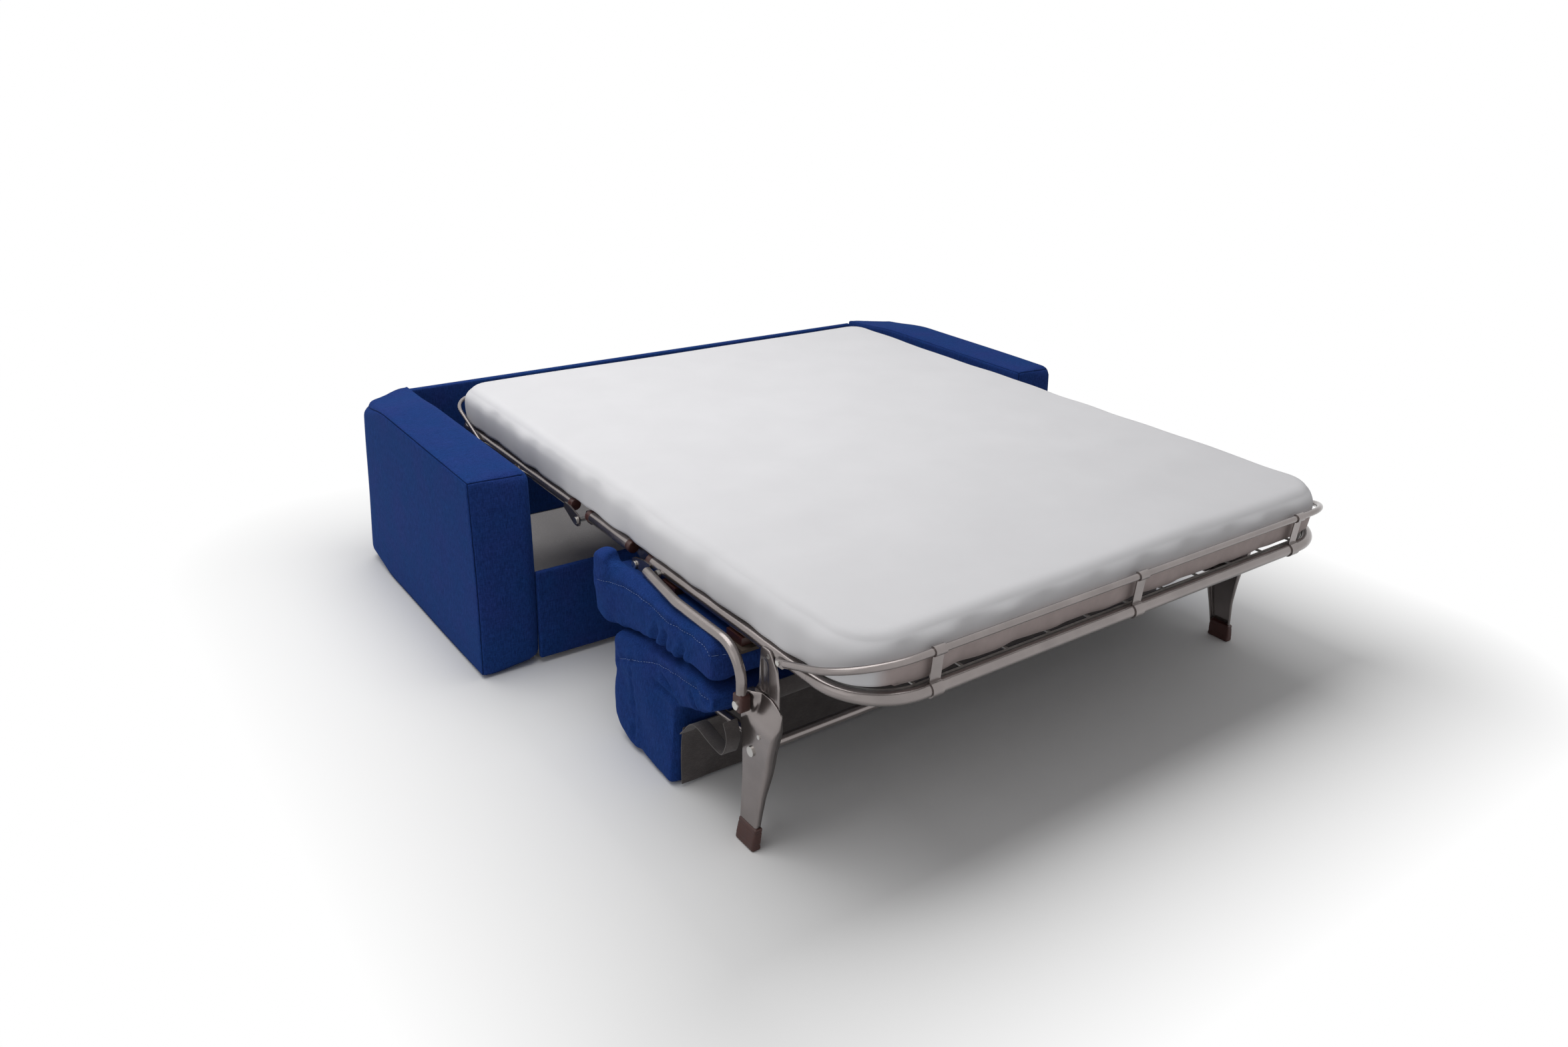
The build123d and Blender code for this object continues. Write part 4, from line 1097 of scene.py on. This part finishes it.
        # Painted shade low on the foot side, where that side lies in shadow
        above = ease(self.BORDER_FULL, self.BORDER_END, points[:, 2] - low[2])
        foot_shade = (1 - above) * ease(0.82, 0.98, -outwards[:, 1])
        return place, quads, foot_shade

    def part(self, name, points, quads, foot_shade, split, side):
        """One half of the mattress, closed with a flat end where the halves meet."""
        inside = ((points[quads][:, :, 1] - split) * side > -1e-6).all(axis=1)
        kept, faces = np.unique(quads[inside], return_inverse=True)
        slot = "mattress_cover"
        piece = make_piece(name, points[kept], faces.reshape(-1, 4), material_of(slot))
        mesh = piece.data
        work = bmesh.new()
        work.from_mesh(mesh)
        rim = [edge for edge in work.edges if edge.is_boundary]
        for edge in rim:
            edge.smooth = False
        cap = bmesh.ops.holes_fill(work, edges=rim, sides=0)["faces"]
        bmesh.ops.triangulate(work, faces=cap)
        bmesh.ops.recalc_face_normals(work, faces=work.faces)
        work.to_mesh(mesh)
        work.free()
        # The mesh carries the painted shade of its low foot side for the cover.
        hold(mesh, "foot_shade", foot_shade[kept])
        mesh.update()


class SOFA_OT_cushions(bpy.types.Operator):
    """Sew and fill the seat and the backrest cushion"""

    bl_idname = "sofa.cushions"
    bl_label = "Cushions"

    # Seams and creases on the cushions' ends, as places along and up
    SEAT_SEAM = (
        (-0.190, 0.400), (-0.326, 0.430), (-0.455, 0.446), (-0.565, 0.454), (-0.661, 0.452), (-0.727, 0.438),
    )
    BACK_SEAM = (
        (-0.290, 0.222), (-0.305, 0.232), (-0.420, 0.281), (-0.536, 0.305), (-0.626, 0.316), (-0.700, 0.316),
    )
    HEAD_SEAM = ((-0.362, 0.255), (-0.362, 0.180), (-0.363, 0.110), (-0.364, 0.030))
    SEAT_CREASES = (
        ((-0.440, 0.336), (-0.452, 0.366), (-0.470, 0.386)),
        ((-0.492, 0.336), (-0.500, 0.372), (-0.508, 0.398)),
        ((-0.560, 0.344), (-0.566, 0.366), (-0.584, 0.392)),
    )
    BACK_CREASES = (
        ((-0.548, 0.226), (-0.505, 0.240), (-0.455, 0.236)),
        ((-0.552, 0.232), (-0.515, 0.262), (-0.478, 0.272)),
        ((-0.640, 0.252), (-0.632, 0.280), (-0.612, 0.298)),
    )
    START_GAP, FLOOR_GAP = 0.004, 0.003
    FLOOR_DROP = 0.006
    END_ROOM, ARM_GAP = 0.022, 0.0015
    EDGE_GAP = 0.020
    WAVE, WAVE_LENGTH = 0.0016, 0.16
    SEAM_DEPTH, SEAM_WIDTH = 0.0040, 0.006
    PUFF, PUFF_AT, PUFF_WIDTH = 0.0014, 0.017, 0.010
    GATHER, GATHER_LENGTH, GATHER_WIDTH = 0.0010, 0.030, 0.03
    CREASE_DEPTH, CREASE_WIDTH = 0.0090, 0.008
    LIP, LIP_AT, LIP_WIDTH = 0.0035, 0.018, 0.009
    # The seams as they are laid on each cushion, for the stitches
    LINES = {}

    def execute(self, context):
        sizes = context.scene.sofa_cushion
        seat = self.cushion("seat_cushion", sizes, [self.SEAT_SEAM], self.SEAT_CREASES)
        back = self.cushion("backrest_cushion", sizes, [self.BACK_SEAM, self.HEAD_SEAM], self.BACK_CREASES)
        for piece, node, body in ((seat, "seat_cushion", "foot"), (back, "backrest_cushion", "backrest")):
            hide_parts(node)
            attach(piece, body)
        return {"FINISHED"}

    def cushion(self, name, sizes, seams, creases):
        """A cushion cut to the space that its solid holds, drawn in a little, filled, then sewn."""
        mesh = NODES[name].data.copy()
        mesh.materials.clear()
        work = bmesh.new()
        work.from_mesh(mesh)
        bmesh.ops.remove_doubles(work, verts=work.verts, dist=1e-4)
        bmesh.ops.recalc_face_normals(work, faces=work.faces)
        work.to_mesh(mesh)
        work.free()
        piece = bpy.data.objects.new(name + "_cover", mesh)
        bpy.context.scene.collection.objects.link(piece)
        remesh = piece.modifiers.new("Cells", "REMESH")
        remesh.mode = "VOXEL"
        remesh.voxel_size = sizes.voxel
        mesh = settled(piece)
        set_points(mesh, relaxed(mesh, 2))
        self.cut_full(mesh, sizes)
        filled(piece, sizes)
        mesh = piece.data
        points = relaxed(mesh, 1, 0.3)
        points[:, 2] = np.maximum(points[:, 2], self.FLOOR_GAP)
        points[:, 0] = self.between_arms(points[:, 0])
        set_points(mesh, points)
        smooth = piece.modifiers.new("Smooth", "SUBSURF")
        smooth.levels = smooth.render_levels = 1
        mesh = settled(piece)
        self.LINES[name] = [self.laid(piece, seam) for seam in seams]
        self.sew(mesh, self.LINES[name], creases)
        mesh.materials.clear()
        mesh.materials.append(material_of("velvet"))
        mesh.polygons.foreach_set("use_smooth", np.ones(len(mesh.polygons), bool))
        return piece

    def cut_full(self, mesh, sizes):
        """Cuts the cloth fuller at the back, at the floor and at both ends, where the cushion stands free."""
        points = mesh_points(mesh)
        normals = point_normals(mesh)
        points -= normals * sizes.slack
        to_end = ease(0.45, 0.86, np.abs(points[:, 0]))
        rear = ease(0.2, 0.8, normals[:, 1]) * ease(-0.60, -0.40, points[:, 1])
        points[:, 1] += sizes.fullness * rear * (0.35 + 0.65 * to_end)
        below = ease(0.2, 0.8, -normals[:, 2]) * ease(0.06, 0.02, points[:, 2])
        points[:, 2] -= self.FLOOR_DROP * below
        points[:, 0] *= sizes.spread
        points[:, 2] = np.maximum(points[:, 2], self.START_GAP)
        set_points(mesh, points)

    def between_arms(self, x):
        """Draws the ends in so that they pass between the arms.

        In the last room before the limit, a point goes on by the room times 1 minus e to the minus its share
        of the room.
        """
        room = self.END_ROOM
        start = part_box("right_arm")[0][0] - self.ARM_GAP - room
        past = np.maximum(np.abs(x) - start, 0)
        return np.sign(x) * np.where(past > 0, start + room * (1 - np.exp(-past / room)), np.abs(x))

    def laid(self, piece, seam):
        """A seam as a smooth line of places along and up, kept below the upper edge of the cushion's end."""
        line = spline(seam, 80)
        tree = BVHTree.FromObject(piece, bpy.context.evaluated_depsgraph_get())
        tops = [tree.ray_cast((0.868, y, 1.0), (0, 0, -1))[0] for y in line[:, 0]]
        line[:, 1] = np.minimum(line[:, 1], [top.z - self.EDGE_GAP if top else 1.0 for top in tops])
        share = np.ones(9) / 9
        line[4:-4, 1] = np.convolve(line[:, 1], share, "valid")
        return line

    def sew(self, mesh, lines, creases):
        """Sinks the seams and creases of both ends into the cloth, with short gathers beside the seams."""
        points = mesh_points(mesh)
        normals = point_normals(mesh)
        at_end = ease(0.80, 0.86, np.abs(points[:, 0])) * ease(0.10, 0.45, np.abs(normals[:, 0]))
        near_end = ease(0.78, 0.88, np.abs(points[:, 0]))
        lift = self.WAVE * waves(points, self.WAVE_LENGTH, 43) * near_end
        for line in lines:
            gap = np.min(np.linalg.norm(points[:, None, 1:] - line[None], axis=2), axis=1)
            gathers = waves(points, self.GATHER_LENGTH, 41)
            lift -= self.SEAM_DEPTH * bell(gap, self.SEAM_WIDTH) * at_end
            lift += self.PUFF * bell(gap - self.PUFF_AT, self.PUFF_WIDTH) * at_end
            lift += self.GATHER * gathers * bell(gap, self.GATHER_WIDTH) * at_end
        for crease in creases:
            line = spline(crease, 40)
            gap = np.linalg.norm(points[:, None, 1:] - line[None], axis=2)
            share = np.sin(np.linspace(0.25, np.pi, 40))[gap.argmin(axis=1)]
            gap = gap.min(axis=1)
            lift -= self.CREASE_DEPTH * share * bell(gap, self.CREASE_WIDTH) * near_end
            lift += self.LIP * share * bell(gap - self.LIP_AT, self.LIP_WIDTH) * near_end
        set_points(mesh, points + normals * lift[:, None])


class SOFA_OT_stitches(bpy.types.Operator):
    """Stitch the cushions' end seams"""

    bl_idname = "sofa.stitches"
    bl_label = "Stitches"

    PITCH, RUN, RADIUS = 0.009, 0.0055, 0.0007
    FIRST, LAST = 0.004, 0.01
    LIFT = 0.0003

    def execute(self, context):
        rows = (
            ("seat_stitches", "seat_cushion", "foot"),
            ("backrest_stitches", "backrest_cushion", "backrest"),
        )
        for name, node, body in rows:
            points, faces = self.row(bpy.data.objects[node + "_cover"], SOFA_OT_cushions.LINES[node][0])
            piece = closed_piece(name, points, faces, material_of("thread"))
            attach(piece, body)
        return {"FINISHED"}

    def row(self, cover, line):
        """Stitches at both ends of a cushion, a pitch apart along the seam.

        Each is a thin tube that narrows to its ends: round a straight run between two points of the seam on
        the cloth, its radius is the full one times the root of the sine of half a turn along the run.
        """
        starts = np.arange(self.FIRST, distances(line)[-1] - self.LAST, self.PITCH)
        share = np.linspace(0, 1, 6)
        flat = sampled(line, starts[:, None] + self.RUN * share[None])
        tree = BVHTree.FromObject(cover, bpy.context.evaluated_depsgraph_get())
        spots, quads, caps = [], [], []
        turn = np.linspace(0, 2 * np.pi, 6, endpoint=False)
        cosine = np.cos(turn)[None, :, None]
        sine = np.sin(turn)[None, :, None]
        radius = self.RADIUS * np.sqrt(np.clip(np.sin(np.pi * np.clip(share, 0.04, 0.96)), 0, 1))
        for side in (-1, 1):
            ends = flat[:, [0, -1]].reshape(-1, 2)
            hits = [tree.ray_cast((side * 1.2, y, z), (-side, 0, 0))[0] for y, z in ends]
            depth = np.array([hit.x if hit else np.nan for hit in hits]).reshape(-1, 2)
            good = ~np.isnan(depth).any(axis=1)
            depth = depth[good, :1] * (1 - share) + depth[good, 1:] * share
            middle = np.concatenate([depth[:, :, None] + side * self.LIFT, flat[good]], axis=2)
            ahead = unit(middle[:, -1] - middle[:, 0])
            across = unit(np.cross(ahead, np.array([1.0, 0, 0])))
            upward = np.cross(ahead, across)
            ring = across[:, None] * cosine + upward[:, None] * sine
            tube = middle[:, :, None] + ring[:, None] * radius[None, :, None, None]
            base = sum(len(part) for part in spots)
            grid = ring_quads(len(share), len(turn))
            number = np.arange(len(tube)) * len(share) * len(turn)
            quads.append((grid[None] + number[:, None, None] + base).reshape(-1, 4))
            first = np.arange(len(turn))[None] + number[:, None] + base
            caps += [first[:, ::-1], first + (len(share) - 1) * len(turn)]
            spots.append(tube.reshape(-1, 3))
        return np.concatenate(spots), [np.concatenate(quads), np.concatenate(caps)]


class SOFA_OT_legs(bpy.types.Operator):
    """Press the legs, their hanger plates, their boots and the pivot caps"""

    bl_idname = "sofa.legs"
    bl_label = "Legs"

    # Outlines as places ahead of the pivot and up, with the radius of each corner
    LEG = (
        (0.014, 0.014), (0.071, 0.014), (0.072, 0.130), (0.086, 0.244), (0.103, 0.310), (0.100, 0.350),
        (0.060, 0.366), (-0.026, 0.366), (-0.026, 0.305), (-0.016, 0.200), (0.005, 0.070),
    )
    LEG_ROUND = (0.010, 0.010, 0.140, 0.120, 0.040, 0.020, 0.020, 0.027, 0.060, 0.120, 0.150)
    HANGER = (
        (0.012, 0.476), (0.046, 0.476), (0.072, 0.440), (0.081, 0.400), (0.083, 0.345), (0.060, 0.322),
        (-0.014, 0.322), (-0.014, 0.352), (0.008, 0.380), (0.010, 0.430),
    )
    HANGER_ROUND = (0.014, 0.016, 0.040, 0.060, 0.016, 0.020, 0.012, 0.020, 0.030, 0.060)
    CAP = (
        (-0.0165, 0.3635), (-0.0165, 0.3255), (-0.010, 0.3205), (0.010, 0.3205), (0.0165, 0.3255),
        (0.0165, 0.3635),
    )
    CAP_ROUND = (0.006, 0.009, 0.006, 0.006, 0.009, 0.006)
    LEG_MIDDLE, HANGER_MIDDLE, CAP_MIDDLE = (0.036, 0.220), (0.036, 0.385), (0.0, 0.342)
    DISH_DEPTH = 0.0045
    HANGER_DEPTH, HANGER_BEND, HANGER_LAP = 0.0050, 0.0022, 0.003
    BEAD_DEPTH, BEAD_TOP, BEAD_FOOT = 0.0016, (0.030, 0.438), (0.036, 0.360)
    CAP_DEPTH, CAP_BEND = 0.0250, 0.0045
    BOOT_BACK, BOOT_FRONT, BOOT_LAP = 0.0105, 0.0755, 0.017
    BOOT_CELLS, BOOT_FINE, BOOT_BEND = (0.004, 0.0028, 0.004), (0.001, 0.002, 0.0035), 0.0035
    BOOT_TAPER = 0.0022
    GROOVE_DEPTH, GROOVE_WIDTH, GROOVES = 0.0011, 0.0016, (0.044, 0.013)
    LEG_FOOT = 0.014

    def execute(self, context):
        sizes = context.scene.sofa_legs
        leg = self.leg(sizes)
        for side, sign in (("left", -1), ("right", 1)):
            piece = self.add(side + "_leg_pressing", leg, sign, "frame_paint", "backrest")
            thicken(piece, "Sheet", sizes.wall, -1)
            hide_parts(side + "_leg")
            hanger = self.add(side + "_hanger_plate", self.hanger(), sign, "frame_paint", "foot")
            cap = self.add(side + "_pivot_cap", self.cap(), sign, "brown_plastic", "foot")
            boot = self.add(side + "_boot", self.boot(sizes), sign, "brown_plastic", "backrest")
            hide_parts("leg_hangers")
            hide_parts("pivot_caps")
            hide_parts("boots")
        return {"FINISHED"}

    def add(self, name, shape, sign, slot, body):
        """A piece from points that are ahead of the pivot, up and out from the middle plane, on one side."""
        points, faces = shape
        place = np.stack([sign * points[:, 2], PIVOT_Y - points[:, 0], points[:, 1]], axis=1)
        piece = closed_piece(name, place, faces, material_of(slot))
        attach(piece, body)
        return piece

    def leaning(self, heights, sizes):
        """How far out a leg stands at a height: nothing above its knee, then ever more down to the floor."""
        return sizes.lean * np.clip(1 - heights / sizes.knee, 0, 1) ** 1.3

    def leg(self, sizes):
        """A pressed pan with a dish round the pivot, shallower down its shank and thin at its top."""
        low, high = box_of("right_leg")
        depth = high[0] - low[0]
        outline = closed_outline(self.LEG, self.LEG_ROUND, 260)
        points, faces = pressed(outline, self.LEG_MIDDLE, depth, sizes.bend)
        ahead, up, out = points.T
        dish = np.hypot(ahead, up - PIVOT_Z)
        face = ease(depth * 0.6, depth, out)
        sunk = self.DISH_DEPTH * (1 - ease(0.019, 0.027, dish)) * face
        thin = 0.86 * ease(0.285, 0.360, up) * ease(0.002, 0.030, ahead)
        shallow = 1 - 0.46 * (1 - ease(0.070, 0.260, up))
        out = (depth - (depth - out) * shallow - sunk) * (1 - thin)
        return np.stack([ahead, up, low[0] + out + self.leaning(up, sizes)], axis=1), faces

    def hanger(self):
        """The flat neck above a leg, with a shallow bead from its rivet down to the pivot."""
        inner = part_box("leg_hangers")[1][0] - self.HANGER_LAP
        outline = closed_outline(self.HANGER, self.HANGER_ROUND, 160)
        points, faces = pressed(outline, self.HANGER_MIDDLE, self.HANGER_DEPTH, self.HANGER_BEND, closed=True)
        bead = segment_distance(points[:, :2], self.BEAD_FOOT, self.BEAD_TOP)
        face = ease(0.003, self.HANGER_DEPTH, points[:, 2])
        sunk = self.BEAD_DEPTH * (1 - ease(0.006, 0.016, bead)) * face
        return np.stack([points[:, 0], points[:, 1], inner + points[:, 2] - sunk], axis=1), faces

    def cap(self):
        """A moulded cap over the end of a seat tube, rounded below."""
        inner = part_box("pivot_caps")[1][0] - self.CAP_DEPTH
        outline = closed_outline(self.CAP, self.CAP_ROUND, 120)
        points, faces = pressed(outline, self.CAP_MIDDLE, self.CAP_DEPTH, self.CAP_BEND, closed=True)
        return np.stack([points[:, 0], points[:, 1], inner + points[:, 2]], axis=1), faces

    def boot(self, sizes):
        """A boot: a box with round edges, wider at the sole, with two grooves round it and the leg's lean."""
        outer, _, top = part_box("boots")[1]
        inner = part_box("right_leg")[1][0] - self.BOOT_LAP
        low = np.array([self.BOOT_BACK, 0.0, inner])
        high = np.array([self.BOOT_FRONT, top, outer])
        points, quads = graded_box(low, high, self.BOOT_CELLS, (self.BOOT_FINE,) * 3)
        place, out = rounded(points, low, high, self.BOOT_BEND)
        height = place[:, 1]
        sides = 1 - np.abs(out[:, 1])
        groove = sum(bell(height - level, self.GROOVE_WIDTH) for level in self.GROOVES)
        taper = self.BOOT_TAPER * (1 - height / top)
        place = place + out * ((taper - self.GROOVE_DEPTH * groove) * sides)[:, None]
        place[:, 2] += self.leaning(np.maximum(height, self.LEG_FOOT), sizes)
        return place, [quads]


class SOFA_OT_plugs(bpy.types.Operator):
    """Cap the open ends of the rails at the knees"""

    bl_idname = "sofa.plugs"
    bl_label = "Rail plugs"

    # Body, and which end of its rails: 0 towards the foot, 1 towards the head
    ENDS = (("base", 0), ("knee", 0), ("knee", 1), ("foot", 1))
    # Radius as a share of the tube's, and distance past the tube's end
    PROFILE = (
        (0.98, -0.0180), (1.04, -0.0178), (1.06, -0.0170), (1.06, -0.0008), (1.03, 0.0004), (0.95, 0.0011),
        (0.80, 0.0015), (0.50, 0.0019), (0.20, 0.0021),
    )

    def execute(self, context):
        for number, (body, end) in enumerate(self.ENDS):
            for side in ("left", "right"):
                low, high = box_of(f"{side}_{body}_rail")
                points, faces = self.plug((high[0] - low[0]) / 2)
                middle = (low + high) / 2
                place = np.stack([points[:, 0], points[:, 2] * (1, -1)[end == 0], points[:, 1]], axis=1)
                place += np.array([middle[0], (low[1], high[1])[end], middle[2]])
                name = f"{side}_{body}_plug_{number}"
                piece = closed_piece(name, place, faces, material_of("brown_plastic"))
                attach(piece, body)
        return {"FINISHED"}

    def plug(self, radius):
        """A moulded cap: rings about an axis, a sleeve round the tube's end, a round edge and a flat dome."""
        turn = np.linspace(0, 2 * np.pi, 40, endpoint=False)
        ring = np.stack([np.cos(turn), np.sin(turn)], axis=1)
        share, level = np.array(self.PROFILE).T
        rings = ring[None] * (radius * share)[:, None, None]
        ends = [[0, 0, level[0]], [0, 0, level[-1] + 0.0001]]
        points = np.concatenate([stacked(rings, level), ends])
        return points, [ring_quads(len(share), len(turn)), fans(len(share), len(turn))]


class SOFA_OT_felt(bpy.types.Operator):
    """Hang the felt on the backrest's inner faces and drape its loose ends"""

    bl_idname = "sofa.felt"
    bl_label = "Felt"

    # Lines that the felt follows across the backrest, as places along and up
    UPRIGHT = ((-0.5575, 0.008), (-0.5560, 0.060), (-0.5545, 0.120), (-0.5570, 0.150), (-0.5630, 0.168))
    UNDER = (
        (-0.5730, 0.2370), (-0.6200, 0.2500), (-0.6800, 0.2700), (-0.7220, 0.2830), (-0.7400, 0.2950),
        (-0.7460, 0.3180), (-0.7450, 0.3450),
    )
    FLAP = (
        (-0.5590, 0.152), (-0.5780, 0.178), (-0.6080, 0.2080), (-0.6500, 0.2080), (-0.6950, 0.1960),
        (-0.7250, 0.1880), (-0.7420, 0.1930), (-0.7500, 0.2200), (-0.7560, 0.2500), (-0.7400, 0.2800),
    )
    # A sheet of under 10,000 points is laid on the cushion in one thread, so each run gives the same result
    ROWS, COLUMNS, FLAP_COLUMNS = 60, 160, 14
    UNDER_HALF, FLAP_WIDTH = 0.80, 0.036
    WAVE_LENGTH = 0.11
    THICKNESS, LAY_GAP = 0.0026, 0.003

    def execute(self, context):
        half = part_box("felt_lining")[1][0]
        under = self.UNDER_HALF
        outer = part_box("felt_flaps")[1][0]
        inner = outer - self.FLAP_WIDTH
        wide, narrow = self.COLUMNS, self.FLAP_COLUMNS
        self.sheet("felt_upright", self.UPRIGHT, -half, half, wide, 0.0016, "hung", "felt_lining", 51)
        self.sheet("felt_under", self.UNDER, -under, under, wide, 0.0008, "stretched", "felt_lining", 53)
        self.sheet("felt_flap_left", self.FLAP, -outer, -inner, narrow, 0.0030, "draped", "felt_flaps", 55)
        self.sheet("felt_flap_right", self.FLAP, inner, outer, narrow, 0.0030, "draped", "felt_flaps", 57)
        return {"FINISHED"}

    def sheet(self, name, path, start, end, columns, wave, held, node, seed):
        """A sheet of felt: a smooth line across the backrest, carried sideways, with soft waves."""
        line = spline(path, self.ROWS)
        xs = np.linspace(start, end, columns)
        along = unit(np.gradient(line, axis=0))
        out = np.stack([along[:, 1], -along[:, 0]], axis=1)
        points = np.concatenate([np.repeat(xs, len(line))[:, None], np.tile(line, (columns, 1))], axis=1)
        loose = np.tile(np.sin(np.linspace(0.2, np.pi, len(line))), columns)
        lift = wave * waves(points, self.WAVE_LENGTH, seed) * loose
        points[:, 1:] += np.tile(out, (columns, 1)) * lift[:, None]
        piece = make_piece(name, points, strip_quads(columns, len(line)), material_of("felt"))
        lay = piece.modifiers.new("Lay", "SHRINKWRAP")
        lay.target = bpy.data.objects["backrest_cushion_cover"]
        lay.wrap_method = "NEAREST_SURFACEPOINT"
        lay.wrap_mode = "OUTSIDE"
        lay.offset = self.LAY_GAP
        settled(piece)
        thicken(piece, "Felt", self.THICKNESS, 0)
        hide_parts(node)
        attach(piece, "backrest")


class SOFA_PT_builder(bpy.types.Panel):
    """Lists the pieces and their sizes"""

    bl_label = "Sofa bed"
    bl_idname = "SOFA_PT_builder"
    bl_space_type = "VIEW_3D"
    bl_region_type = "UI"
    bl_category = "Sofa bed"

    def draw(self, context):
        for operator in OPERATORS:
            self.layout.operator(operator.bl_idname)
        for name, group in GROUPS.items():
            box = self.layout.box()
            box.label(text=group.__doc__)
            for field in group.__annotations__:
                box.prop(getattr(context.scene, name), field)


GROUPS = {
    "sofa_shell": ShellSizes,
    "sofa_mattress": MattressSizes,
    "sofa_cushion": CushionSizes,
    "sofa_legs": LegSizes,
    "sofa_colours": Colours,
    "sofa_stage": StageSizes,
}
OPERATORS = (
    SOFA_OT_stage,
    SOFA_OT_steelwork,
    SOFA_OT_arms,
    SOFA_OT_panels,
    SOFA_OT_lining,
    SOFA_OT_mattress,
    SOFA_OT_cushions,
    SOFA_OT_stitches,
    SOFA_OT_felt,
    SOFA_OT_legs,
    SOFA_OT_plugs,
)


def register():
    for group in GROUPS.values():
        bpy.utils.register_class(group)
    for name, group in GROUPS.items():
        setattr(bpy.types.Scene, name, PointerProperty(type=group))
    for operator in OPERATORS:
        bpy.utils.register_class(operator)
    bpy.utils.register_class(SOFA_PT_builder)


def unregister():
    bpy.utils.unregister_class(SOFA_PT_builder)
    for operator in reversed(OPERATORS):
        bpy.utils.unregister_class(operator)
    for name, group in GROUPS.items():
        delattr(bpy.types.Scene, name)
        bpy.utils.unregister_class(group)


def main():
    """Builds everything in order."""
    register()
    bpy.ops.sofa.stage()
    bpy.ops.sofa.steelwork()
    bpy.ops.sofa.arms()
    bpy.ops.sofa.panels()
    bpy.ops.sofa.lining()
    bpy.ops.sofa.mattress()
    bpy.ops.sofa.cushions()
    bpy.ops.sofa.stitches()
    bpy.ops.sofa.felt()
    bpy.ops.sofa.legs()
    bpy.ops.sofa.plugs()


if __name__ == "__main__":
    main()
